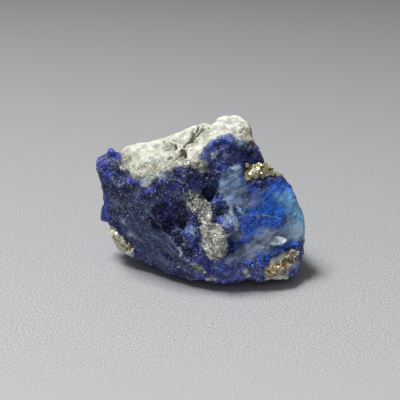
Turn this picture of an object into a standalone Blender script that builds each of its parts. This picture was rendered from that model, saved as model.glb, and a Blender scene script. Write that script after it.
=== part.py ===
"""A broken chunk of blue afghanite with a white calcite cap and bands of pyrite crystals.

The chunk formed as one rock, so it is one solid. It stands on a small flat spot of its
underside, with the origin at the middle of its footprint and its best face towards -Y.
"""

import math
import random

import bmesh
import bpy
import numpy as np
from mathutils import Euler, Matrix, Vector, noise
from mathutils.bvhtree import BVHTree

MM = 0.001

# Grids that the chunk is sculpted and skinned on, and the triangles its skin is left with
SCULPT_GRID = 0.34 * MM
SKIN_GRID = 0.26 * MM
SKIN_TRIANGLES = 6400

# Height of the table below the level that the corners are measured from, and how far the block
# reaches under the table before it is cut off level there
TABLE_LEVEL = -0.60 * MM
UNDERSIDE_DEPTH = 0.45 * MM

SEED = 27

# Corners of the chunk in mm, where its broken faces meet, before its hollows and lumps
CREST_CORNERS = [
    (-14.0, -2.0, 15.1),
    (-14.4, -0.6, 15.9),
    (-13.2, 0.9, 16.6),
    (-11.9, 2.0, 16.8),
    (-6.4, 4.0, 16.9),
    (-0.1, 5.0, 18.7),
    (3.6, 5.0, 20.3),
    (5.8, 3.8, 21.1),
    (6.8, 2.4, 20.8),
]
RIGHT_EDGE_CORNERS = [
    (7.4, -0.5, 19.2),
    (10.9, -1.5, 13.9),
    (12.8, -2.0, 12.0),
    (14.1, -2.2, 11.0),
    (15.1, -2.5, 9.3),
    (15.1, -3.0, 6.0),
    (15.0, -4.0, 3.0),
    (14.6, -5.2, 1.0),
    (14.0, -6.4, 0.6),
]
FRONT_CORNERS = [
    (-10.5, -3.5, 15.2),
    (-6.9, -4.8, 15.9),
    (0.7, -5.2, 17.9),
    (4.8, -2.4, 19.7),
    (6.2, -5.4, 15.0),
    (-6.9, -6.4, 10.8),
    (-2.7, -7.9, 5.3),
    (-2.4, -7.3, 0.6),
    (-0.2, -8.3, 0.8),
    (1.6, -8.9, 0.8),
    (2.6, -8.6, 4.6),
    (5.5, -7.6, 10.7),
    (10.4, -8.7, 0.7),
    (12.6, -7.9, 0.6),
]
LEFT_EDGE_CORNERS = [
    (-14.3, -1.5, 13.5),
    (-13.7, -1.5, 12.6),
    (-13.7, -1.0, 6.2),
    (-13.5, -1.0, 4.5),
    (-12.1, -1.0, 1.3),
    (-8.7, -2.7, 1.0),
    (-5.0, -5.3, 0.3),
]
BACK_CORNERS = [
    (-12.8, 4.0, 12.4),
    (-9.0, 7.4, 10.4),
    (-1.0, 8.8, 12.6),
    (6.0, 7.6, 14.0),
    (9.4, 3.8, 11.4),
    (13.0, 3.4, 5.4),
    (7.4, 8.4, 4.6),
    (-4.0, 9.0, 3.8),
    (-11.4, 5.2, 3.6),
    (-5.2, 6.4, 2.0),
    (7.8, 6.4, 2.0),
    (13.4, 2.4, 1.8),
    (-8.6, 2.2, 1.4),
]
FLAT_SPOT_CORNERS = [
    (-3.2, -2.6),
    (-4.4, 0.8),
    (-0.8, 3.2),
    (6.6, 3.4),
    (11.0, 0.2),
    (11.6, -2.4),
    (9.2, -4.2),
    (2.4, -4.4),
    (-0.8, -3.8),
]

INTO_FRONT = Vector((0.0, 0.96, -0.28))
INTO_CORNER = Vector((0.62, 0.70, 0.34))
INTO_BACK = Vector((0.0, -1.0, 0.0))
INTO_LEFT = Vector((1.0, 0.0, 0.0))
INTO_RIGHT = Vector((-0.94, -0.34, 0.0))
INTO_SLOPE = Vector((-0.76, 0.0, -0.65))
DOWNWARDS = Vector((0.0, 0.0, -1.0))
UPWARDS = Vector((0.0, 0.0, 1.0))

# Rounded hollows and lumps in mm: centre, radii and how far the surface is pushed the way named.
# With a slope above 1 a hollow has a floor in its middle.
ROUND_SLOPE = 1.25
HOLLOWS = [
    ("blue hollow under the cap", (3.2, -3.6, 18.5), (3.6, 3.4, 1.9), 1.15, INTO_FRONT),
    ("right end of that hollow", (6.2, -3.0, 17.3), (2.8, 3.0, 1.5), 0.60, INTO_FRONT),
    ("dark hollow", (-3.6, -6.8, 10.4), (2.7, 3.2, 4.0), 0.95, INTO_FRONT),
    ("recess beside the glassy face", (1.3, -5.6, 13.7), (1.4, 3.0, 1.3), 1.35, INTO_FRONT),
    ("notch under the small crystals", (2.9, -6.9, 11.1), (1.5, 2.6, 0.8), 0.85, INTO_FRONT),
    ("pocket right of the grey lump", (5.0, -8.0, 7.1), (1.7, 2.8, 1.7), 0.70, INTO_FRONT),
    ("hollow left of the grey lump", (-0.2, -7.4, 10.0), (1.4, 2.6, 1.6), 0.45, INTO_FRONT),
    ("chip in the glassy face", (10.5, -5.5, 6.1), (2.2, 2.4, 0.8), 0.45, INTO_FRONT),
    ("slope above the pyrite", (10.6, 0.4, 15.6), (3.2, 3.6, 2.9), 0.70, INTO_SLOPE),
    ("slope beside the crest", (8.6, 1.4, 18.2), (2.6, 3.6, 2.6), 0.60, INTO_SLOPE),
    ("slope beside the pyrite", (12.0, 1.0, 13.6), (2.6, 3.6, 2.4), 0.35, INTO_SLOPE),
    ("dirty end of the cap", (-10.8, -3.2, 15.4), (1.5, 2.0, 1.2), 0.40, INTO_FRONT),
    ("arch between the feet", (6.2, -8.6, 0.8), (2.4, 2.6, 0.9), 0.60, UPWARDS),
    ("wide hollow in the back", (-5.6, 8.0, 9.6), (4.4, 4.0, 3.6), 1.20, INTO_BACK),
    ("small hollow in the back", (3.8, 8.4, 8.2), (3.0, 3.6, 3.0), 0.90, INTO_BACK),
    ("hollow in the right face", (12.6, 1.2, 8.6), (3.0, 3.0, 3.0), 0.60, INTO_RIGHT),
    ("pit in the cap", (-2.5, -3.0, 17.6), (1.2, 1.4, 1.2), 0.55, DOWNWARDS),
    ("pit at the crest", (0.6, 2.3, 19.6), (1.1, 0.9, 1.0), 0.20, DOWNWARDS),
    ("dip in the cap", (-5.0, 1.0, 17.2), (2.2, 1.6, 1.4), 0.35, DOWNWARDS),
    ("dip in the crest", (-5.4, 4.0, 17.6), (4.4, 3.4, 2.2), 0.75, DOWNWARDS),
]
LUMPS = [
    ("grey calcite lump", (2.0, -8.4, 6.2), (2.2, 3.0, 2.8), 0.85, -INTO_FRONT),
    ("blue lump beside the vein", (3.6, -7.6, 9.3), (1.6, 2.4, 1.4), 0.40, -INTO_FRONT),
    ("foot of the front face", (9.4, -7.4, 2.8), (5.2, 3.0, 1.9), 0.35, -INTO_FRONT),
    ("left knob of the crest", (-13.8, -0.9, 15.0), (1.2, 1.5, 1.3), 0.35, -INTO_LEFT),
    ("crest above the pit", (0.4, 4.8, 18.9), (2.0, 2.2, 1.4), 0.25, UPWARDS),
    ("calcite lump at the back", (-1.0, 7.2, 15.6), (3.6, 3.0, 2.0), 0.70, -INTO_BACK),
    ("blue lump at the back", (9.0, 6.6, 9.0), (2.6, 3.0, 3.4), 0.80, -INTO_BACK),
]

# Ledges in mm: the broken edge from start to end, the height of its step and how soon it fades
LEDGES = [
    ("edge of the dark hollow", (-1.4, -8.0, 3.4), (-7.6, -6.2, 11.4), 0.95, 5.0, INTO_FRONT),
    ("left edge of the glassy face", (2.1, -5.0, 17.2), (2.1, -6.6, 12.0), 0.90, 4.0, INTO_FRONT),
    ("lower edge of the pyrite", (12.0, -1.8, 13.8), (5.6, -5.0, 15.0), 0.60, 2.6, INTO_FRONT),
    ("crack in the glassy face", (15.2, -2.6, 8.3), (5.6, -7.0, 11.0), 0.22, 3.4, INTO_FRONT),
    ("shelf under the glassy face", (14.4, -3.8, 4.5), (3.4, -8.4, 5.2), 0.50, 5.0, INTO_FRONT),
    ("crack in the cap", (-1.9, -1.2, 18.3), (0.8, 1.4, 19.3), 0.45, 1.6, DOWNWARDS),
    ("split across the back", (8.4, 8.0, 11.4), (-8.6, 8.0, 6.6), 0.80, 5.0, INTO_BACK),
    ("split down the back", (-2.0, 8.6, 3.0), (-0.4, 8.6, 13.0), 0.70, 4.0, INTO_BACK),
]
LEDGE_SHARPNESS = 0.35 * MM
LEDGE_REACH = 3.5 * MM
LEDGE_END_SHARE = 0.2

# Areas whose surface is calmer, in mm: centre, radii and how much of the breaking up is left out
CALM_AREAS = [
    ("glassy face", (9.6, -5.0, 9.4), (6.6, 5.0, 5.2), 0.80),
    ("left facet", (-8.8, -3.6, 5.4), (5.6, 4.6, 5.0), 0.50),
    ("calcite cap", (-3.4, 0.6, 18.0), (10.0, 5.0, 3.0), 0.40),
]
CALM_SLOPE = 1.8

# Flat chips broken off all over: how many, their radius and their depth in mm, and their tilt
CHIP_COUNT = 150
CHIP_RADIUS = (1.2, 3.2)
CHIP_DEPTH = (0.04, 0.20)
CHIP_TILT = 0.16
CHIP_RIM_SHARE = 0.3
CHIP_LEAST_FACING = 0.2

# Weathering: heights in mm and the number of swells, hackles and grains to a mm
SWELL_HEIGHT, SWELLS_PER_MM = 0.34, 0.17
HACKLE_HEIGHT, HACKLES_PER_MM = 0.13, 0.38
GRAIN_HEIGHT, GRAINS_PER_MM, GRAIN_GAP = 0.30, 0.62, 0.6

# Blocky grains in mm: middle and half sizes, each broken to flat faces
GRAINS = [
    ("blue knob on the left", (-13.4, 1.4, 6.5), (1.6, 1.7, 2.7)),
    ("right knob of the crest", (-12.5, 0.2, 15.9), (1.1, 1.2, 1.5)),
    ("left knob of the crest", (-13.6, -1.2, 14.9), (1.0, 1.2, 1.3)),
    ("small dark crystal", (-6.8, -5.4, 13.4), (0.9, 0.9, 0.8)),
    ("grain under the cap", (-4.6, -5.5, 14.8), (1.2, 0.9, 0.8)),
    ("violet crystal", (-1.5, -7.2, 7.3), (1.3, 1.2, 1.7)),
    ("violet crystal below it", (-0.4, -7.7, 5.2), (1.0, 1.0, 1.2)),
    ("crystal over the notch", (1.9, -5.9, 12.4), (1.2, 1.1, 0.8)),
    ("crystal beside it", (3.3, -6.2, 12.1), (1.0, 1.1, 0.9)),
    ("crystal beside the vein", (3.9, -7.2, 8.9), (1.3, 1.0, 1.2)),
    ("blue crystal by the cap", (1.0, -3.4, 17.6), (1.3, 1.0, 0.9)),
    ("calcite block at the foot", (6.1, -7.6, 1.9), (1.1, 0.9, 0.8)),
    ("crystal at the back", (8.4, 6.2, 10.0), (2.0, 2.0, 2.4)),
    ("small crystal at the back", (6.0, 7.2, 8.4), (1.4, 1.5, 1.6)),
    ("calcite block at the back", (-3.0, 6.6, 14.6), (2.0, 1.6, 1.4)),
]
GRAIN_CORNERS = 18

# Bands of pyrite: from, to, half width, crystals, their largest edge, and the way they are seen
PYRITE_BANDS = [
    ("upper right", (6.8, -6.0, 16.3), (11.0, -6.0, 15.6), 0.85, 30, 0.90, INTO_FRONT),
    ("lower right", (9.9, -12.0, 2.2), (14.4, -9.0, 5.2), 0.80, 28, 0.80, INTO_FRONT),
    ("lower left", (-13.0, -1.0, 5.2), (-8.9, -2.9, 1.8), 0.55, 22, 0.80, INTO_CORNER),
    ("under the cap", (1.6, -10.0, 20.0), (2.8, -10.0, 20.6), 0.50, 5, 0.60, INTO_FRONT),
    ("back", (-7.4, 14.0, 11.0), (-2.2, 14.0, 13.0), 0.90, 12, 0.90, INTO_BACK),
    ("right face", (14.0, 6.0, 4.0), (10.4, 9.0, 9.6), 0.80, 8, 0.80, INTO_RIGHT),
]
LEAST_CRYSTAL_SHARE = 0.55
CRYSTAL_SINK_SHARE = 0.22
CRYSTAL_TABLE_GAP = 0.25 * MM
SIGHT_DISTANCE = 12.0 * MM

BLUE_STONE = (0.012, 0.022, 0.130, 1.0)


def clear_scene():
    """Removes what the startup scene holds."""
    for old in list(bpy.data.objects):
        bpy.data.objects.remove(old, do_unlink=True)


def new_collection(name):
    collection = bpy.data.collections.new(name)
    bpy.context.scene.collection.children.link(collection)
    return collection


def stone_material():
    """Dull blue stone."""
    material = bpy.data.materials.new("blue afghanite")
    material.use_nodes = True
    shader = material.node_tree.nodes["Principled BSDF"]
    shader.inputs["Base Color"].default_value = BLUE_STONE
    shader.inputs["Roughness"].default_value = 0.42
    shader.inputs["Metallic"].default_value = 0.0
    return material


def evaluated_mesh(obj):
    """The object's mesh with its modifiers applied, as a new mesh."""
    graph = bpy.context.evaluated_depsgraph_get()
    return bpy.data.meshes.new_from_object(obj.evaluated_get(graph))


def rough_block(collection):
    """The chunk's broken faces as the hull of its corners, on a fine even grid."""
    corners = (
        CREST_CORNERS
        + RIGHT_EDGE_CORNERS
        + FRONT_CORNERS
        + LEFT_EDGE_CORNERS
        + BACK_CORNERS
    )
    bm = bmesh.new()
    for corner in corners:
        bm.verts.new(Vector(corner) * MM)
    for x, y in FLAT_SPOT_CORNERS:
        bm.verts.new((x * MM, y * MM, TABLE_LEVEL - UNDERSIDE_DEPTH))
    hull = bmesh.ops.convex_hull(bm, input=bm.verts)
    inside = [v for v in hull["geom_interior"] if isinstance(v, bmesh.types.BMVert)]
    bmesh.ops.delete(bm, geom=inside, context="VERTS")
    mesh = bpy.data.meshes.new("rough block")
    bm.to_mesh(mesh)
    bm.free()
    block = bpy.data.objects.new("rough_block", mesh)
    collection.objects.link(block)
    remesh = block.modifiers.new("Even grid", "REMESH")
    remesh.mode = "VOXEL"
    remesh.voxel_size = SCULPT_GRID
    fine = evaluated_mesh(block)
    bpy.data.objects.remove(block)
    return fine


def smooth_step(share):
    """0 below 0, 1 above 1 and an even turn in between."""
    share = np.clip(share, 0.0, 1.0)
    return share * share * (3.0 - 2.0 * share)


def push_round(points, centre, radii, depth, way):
    """Moves the points around centre along way, most in the middle and none past the radii."""
    offset = (points - np.array(centre) * MM) / (np.array(radii) * MM)
    reach = smooth_step(ROUND_SLOPE * (1.0 - np.linalg.norm(offset, axis=1)))
    points += reach[:, None] * depth * MM * np.array(way)


def push_ledge(points, start, end, depth, fade, way):
    """Sets the surface back above the line from start to end, sharply at the line.

    Above is to the left of the line for one who looks along way with the line running down.
    """
    start, end = Vector(start) * MM, Vector(end) * MM
    along = (end - start).normalized()
    across = Vector(way).cross(along).normalized()
    offset = points - np.array(start)
    length = (end - start).length
    run = offset @ np.array(along)
    side = offset @ np.array(across)
    near = np.abs(offset @ np.array(way)) < LEDGE_REACH
    taper = LEDGE_END_SHARE * length
    ends = smooth_step(run / taper) * smooth_step((length - run) / taper)
    step = smooth_step(side / LEDGE_SHARPNESS) * (1.0 - smooth_step(side / (fade * MM)))
    points += (near * ends * step)[:, None] * depth * MM * np.array(way)


def normals_of(mesh):
    found = np.empty(len(mesh.vertices) * 3, np.float32)
    mesh.vertex_normals.foreach_get("vector", found)
    return found.reshape(-1, 3).astype(float)


def points_of(mesh):
    found = np.empty(len(mesh.vertices) * 3, np.float32)
    mesh.vertices.foreach_get("co", found)
    return found.reshape(-1, 3).astype(float)


def move_points(mesh, points):
    mesh.vertices.foreach_set("co", points.astype(np.float32).ravel())
    mesh.update()


def brokenness(points):
    """How strongly the surface is broken up: little where glassy, some on the cap and the left."""
    strength = np.ones(len(points))
    for name, centre, radii, calm in CALM_AREAS:
        offset = np.linalg.norm((points / MM - np.array(centre)) / np.array(radii), axis=1)
        strength *= 1.0 - calm * smooth_step(CALM_SLOPE * (1.0 - offset))
    return strength


def break_chips(points, normals):
    """Breaks flat chips off at random places, each a plane tilted a little from the surface."""
    draw = random.Random(SEED)
    strength = brokenness(points)
    low, high = points.min(axis=0), points.max(axis=0)
    for _ in range(CHIP_COUNT):
        aim = np.array([draw.uniform(a, b) for a, b in zip(low, high)])
        middle = np.argmin(np.linalg.norm(points - aim, axis=1))
        radius = draw.uniform(*CHIP_RADIUS) * MM
        depth = draw.uniform(*CHIP_DEPTH) * MM
        tilt = np.array([draw.gauss(0.0, CHIP_TILT) for _ in range(3)])
        way = normals[middle] + tilt
        way /= np.linalg.norm(way)
        offset = points - points[middle]
        above = np.maximum(offset @ way + depth * strength[middle], 0.0)
        rim = CHIP_RIM_SHARE * radius
        near = smooth_step((radius - np.linalg.norm(offset, axis=1)) / rim)
        facing = normals @ way > CHIP_LEAST_FACING
        points -= (near * facing * strength * above)[:, None] * way


def weathering(point):
    """How far the broken surface stands out at a point: broad swells, hackles and small grains."""
    spot = point / MM
    swell = noise.fractal(spot * SWELLS_PER_MM, 0.8, 2.2, 3)
    hackle = noise.ridged_multi_fractal(spot * HACKLES_PER_MM, 0.9, 2.1, 3, 1.0, 2.0) - 1.0
    nearest, second = noise.voronoi(spot * GRAINS_PER_MM)[0][:2]
    grain = min(second - nearest, GRAIN_GAP) - 0.5 * GRAIN_GAP
    return (SWELL_HEIGHT * swell + HACKLE_HEIGHT * hackle + GRAIN_HEIGHT * grain) * MM


def sculpt(mesh):
    """Presses the hollows, lumps and ledges into the block and breaks up its flat faces."""
    points = points_of(mesh)
    for name, centre, radii, depth, way in HOLLOWS + LUMPS:
        push_round(points, centre, radii, depth, way)
    for name, start, end, depth, fade, way in LEDGES:
        push_ledge(points, start, end, depth, fade, way)
    move_points(mesh, points)
    break_chips(points, normals_of(mesh))
    move_points(mesh, points)
    shift = np.array([weathering(Vector(p)) for p in points]) * brokenness(points)
    points += normals_of(mesh) * shift[:, None]
    move_points(mesh, points)


def add_grain(bm, middle, sizes, draw):
    """One blocky grain: the hull of corners scattered over an oval."""
    corners = []
    for _ in range(GRAIN_CORNERS):
        way = Vector([draw.gauss(0.0, 1.0) for _ in range(3)]).normalized()
        corner = Vector([m + s * w for m, s, w in zip(middle, sizes, way)]) * MM
        corners.append(bm.verts.new(corner))
    hull = bmesh.ops.convex_hull(bm, input=corners)
    inside = [v for v in hull["geom_interior"] if isinstance(v, bmesh.types.BMVert)]
    bmesh.ops.delete(bm, geom=inside, context="VERTS")


def grow_grains(mesh):
    """Adds the blocky grains to the sculpted mesh, each through its surface."""
    bm = bmesh.new()
    bm.from_mesh(mesh)
    draw = random.Random(SEED)
    for name, middle, sizes in GRAINS:
        add_grain(bm, middle, sizes, draw)
    bm.to_mesh(mesh)
    bm.free()


def lighten(mesh, collection):
    """One skin over the block and its grains, with its flat stretches as larger triangles."""
    holder = bpy.data.objects.new("sculpted_block", mesh)
    collection.objects.link(holder)
    skin = holder.modifiers.new("One skin", "REMESH")
    skin.mode = "VOXEL"
    skin.voxel_size = SKIN_GRID
    skin_mesh = evaluated_mesh(holder)
    holder.modifiers.clear()
    holder.data = skin_mesh
    fewer = holder.modifiers.new("Fewer faces", "DECIMATE")
    fewer.ratio = SKIN_TRIANGLES / (2 * len(skin_mesh.polygons))
    fewer.use_collapse_triangulate = True
    light = evaluated_mesh(holder)
    bpy.data.objects.remove(holder)
    return light


def stand_flat(mesh):
    """Cuts the underside off level at the height of the table."""
    bm = bmesh.new()
    bm.from_mesh(mesh)
    everything = bm.verts[:] + bm.edges[:] + bm.faces[:]
    cut = bmesh.ops.bisect_plane(
        bm, geom=everything, plane_co=(0, 0, TABLE_LEVEL), plane_no=(0, 0, -1),
        clear_outer=True,
    )
    rim = [e for e in cut["geom_cut"] if isinstance(e, bmesh.types.BMEdge)]
    bmesh.ops.holes_fill(bm, edges=rim, sides=0)
    bmesh.ops.recalc_face_normals(bm, faces=bm.faces)
    bm.to_mesh(mesh)
    bm.free()


def crystal_places(mesh):
    """Where each pyrite crystal stands on the chunk: its matrix and edge length."""
    bm = bmesh.new()
    bm.from_mesh(mesh)
    tree = BVHTree.FromBMesh(bm)
    bm.free()
    draw = random.Random(SEED)
    places = []
    for name, start, end, half_width, count, largest, way in PYRITE_BANDS:
        start, end = Vector(start) * MM, Vector(end) * MM
        way = Vector(way).normalized()
        across = way.cross(end - start).normalized()
        for _ in range(count):
            along = draw.random()
            aside = draw.uniform(-half_width, half_width) * MM
            edge = largest * draw.uniform(LEAST_CRYSTAL_SHARE, 1.0) * MM
            turn = Euler([draw.uniform(0.0, math.tau) for _ in range(3)]).to_matrix().to_4x4()
            spot = start.lerp(end, along) + across * aside
            hit, normal, _, _ = tree.ray_cast(spot - way * SIGHT_DISTANCE, way)
            if hit is None or hit.z < TABLE_LEVEL + 0.5 * edge + CRYSTAL_TABLE_GAP:
                continue
            centre = hit - normal * edge * CRYSTAL_SINK_SHARE
            places.append((Matrix.Translation(centre) @ turn, edge))
    return places


def crystals(places, collection):
    """All the pyrite cubes as one mesh, for the join."""
    bm = bmesh.new()
    for matrix, edge in places:
        bmesh.ops.create_cube(bm, size=edge, matrix=matrix)
    mesh = bpy.data.meshes.new("pyrite cubes")
    bm.to_mesh(mesh)
    bm.free()
    cubes = bpy.data.objects.new("pyrite_cubes", mesh)
    cubes.hide_render = True
    cubes.display_type = "WIRE"
    collection.objects.link(cubes)
    return cubes


def stand_on_origin(chunk, cubes):
    """Moves the chunk and its crystals so that the origin is under the chunk, on the table."""
    points = points_of(chunk)
    middle = (points.min(axis=0) + points.max(axis=0)) / 2
    shift = Matrix.Translation((-middle[0], -middle[1], -TABLE_LEVEL))
    chunk.transform(shift)
    cubes.transform(shift)


def specimen(parts, helpers):
    """The whole chunk, with its crystals joined to it."""
    block = rough_block(helpers)
    sculpt(block)
    grow_grains(block)
    skin = lighten(block, helpers)
    stand_flat(skin)
    skin.name = "specimen"
    skin.materials.append(stone_material())
    cubes = crystals(crystal_places(skin), helpers)
    stand_on_origin(skin, cubes.data)
    chunk = bpy.data.objects.new("specimen", skin)
    parts.objects.link(chunk)
    join = chunk.modifiers.new("Grown crystals", "BOOLEAN")
    join.operation = "UNION"
    join.object = cubes
    join.solver = "EXACT"
    join.use_self = True


def main():
    clear_scene()
    parts = new_collection("Afghanite specimen")
    helpers = new_collection("Helpers")
    specimen(parts, helpers)


main()
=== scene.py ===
"""The looks of a broken chunk of blue afghanite, grown together with calcite and pyrite."""

import math
import random
from collections import namedtuple

import bmesh
import bpy
import numpy as np
from mathutils import Euler, Matrix, Vector, noise
from mathutils.bvhtree import BVHTree


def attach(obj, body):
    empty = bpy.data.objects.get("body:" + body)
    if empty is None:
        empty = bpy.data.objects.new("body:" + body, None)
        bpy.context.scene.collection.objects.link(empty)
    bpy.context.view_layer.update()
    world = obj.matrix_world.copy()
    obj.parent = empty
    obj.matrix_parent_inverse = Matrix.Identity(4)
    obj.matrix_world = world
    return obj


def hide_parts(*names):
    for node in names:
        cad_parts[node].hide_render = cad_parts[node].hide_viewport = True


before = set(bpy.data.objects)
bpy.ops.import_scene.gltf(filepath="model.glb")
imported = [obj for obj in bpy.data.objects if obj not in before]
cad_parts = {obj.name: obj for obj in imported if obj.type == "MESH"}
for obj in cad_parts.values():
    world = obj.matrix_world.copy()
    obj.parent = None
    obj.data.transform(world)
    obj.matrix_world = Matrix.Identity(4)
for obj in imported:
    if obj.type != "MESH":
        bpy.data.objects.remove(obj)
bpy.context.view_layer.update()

bl_info = {
    "name": "Afghanite specimen",
    "version": (1, 0, 0),
    "blender": (4, 5, 0),
    "location": "3D View > Sidebar > Afghanite",
    "description": "Builds a chunk of afghanite with a calcite cap and pyrite crystals",
    "category": "Object",
}

MM = 0.001
CHUNK_NODE = "specimen"
BODY = "root"
SEED = 27

# The way the best face is seen, and the two directions across it
VIEW_ANGLE = math.radians(27.0)
INTO_FACE = np.array((0.0, math.cos(VIEW_ANGLE), -math.sin(VIEW_ANGLE)))
UP_FACE = np.array((0.0, math.sin(VIEW_ANGLE), math.cos(VIEW_ANGLE)))

# The camera: where it looks, how far off it stands, and its lens and sensor in mm
CAMERA_TARGET = Vector((-0.139, 0.146, 9.9)) * MM
CAMERA_DISTANCE = 137.0 * MM
LENS = 85.0
SENSOR = 36.0

# The lamp's direction, distance and size in m, and the half width of the floor in m
LAMP_WAY = Vector((-0.33, 0.12, 0.93))
LAMP_DISTANCE = 0.5
LAMP_SIZE = 0.16
FLOOR_REACH = 0.8

# How far in front of the face a ray starts that looks for the rock
SIGHT_DISTANCE = 40.0 * MM

# Waves that make the borders of the minerals uneven: how many per mm, and how far they reach in mm
BORDER_WAVES = ((0.9, 0.30), (2.6, 0.16))
# How quickly the best face ends where the rock turns away from the viewer
FACING_SHARPNESS = 1.6

# How narrow the steps between two facets are
SEAM_SHARPNESS = 9.0
EVEN_TILT = Vector((0.5, 0.5, 0.5))
# Broken facets of the blue rock: how many per mm, and how high they are beside each other
FACET_SIZES = ((0.5, 1.0), (1.2, 1.0), (2.6, 1.2))
# How much of them calcite and silky skin take away
SMOOTHED = 0.7
# A mineral's share below which it gives the surface no form
LEAST_SHARE = 0.02
# Calcite: broad swells, lumps and grains per mm, with the weight of the lumps and the extra
# height of grains in grey calcite
SWELLS_PER_MM = 0.7
LUMPS_PER_MM = 0.9
LUMP_WEIGHT = 2.2
SUGAR_PER_MM = 2.4
GREY_EXTRA = 3.2
# Ribs of the glass per mm along x, y and z, how far they lean, and the low steps between them,
# per mm and in mm
RIBS_PER_MM = (0.3, 0.5, 1.9)
RIB_LEAN = 0.45
GLASS_STEPS_PER_MM = 0.30
GLASS_STEP_HEIGHT = 0.10
# The height over the table up to which the surface stays as the solid has it
FOOT_HEIGHT = 0.6 * MM

# Rounds of evening for the painted shade of hollows and the painted light of edges, and the depth
# in mm that counts as deep
HOLLOW_ROUNDS = 26
HOLLOW_DEPTH = 0.22
FACING_ROUNDS = 40

# Minerals in the order in which the material lays them over the dark blue ground
MINERALS = ("violet", "royal", "sky", "haze", "grey", "white")
# Marks that change whatever mineral is there. Dark is painted shade; dull is dull stone in places
# and painted shade on the cap's rim and ends
MARKS = ("glass", "stain", "dark", "dull", "silk")

# Small crystals over the chunk: how many, their edges in mm, how deep they sit, and how much of
# their mineral the rock must have there
Grains = namedtuple("Grains", "count edges sink least")
CALCITE_GRAINS = Grains(1300, (0.16, 0.40), 0.22, 0.45)
BLUE_GRAINS = Grains(2400, (0.10, 0.32), 0.34, 0.35)
# Pale flakes: pale grains, and in part painted glints
FLAKES_AND_GLINTS = Grains(1300, (0.08, 0.19), 0.10, 0.45)
# Height over the table where they start, their other two edges as shares, and how they slant
LOWEST_GRAIN = 0.8 * MM
GRAIN_WIDTHS = (0.5, 1.0)
GRAIN_HEIGHTS = (0.4, 0.9)
GRAIN_SLANT = 0.4

Area = namedtuple("Area", "name mineral soft strength corners")
Line = namedtuple("Line", "name mineral half_width soft strength points")
Blob = namedtuple("Blob", "name mineral middle radii turn soft strength")
# Like blobs in one group, each with its middle, radii, turn, softness and strength
Blobs = namedtuple("Blobs", "name mineral rows")
Spot = namedtuple("Spot", "name mineral middle radii soft strength")
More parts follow.
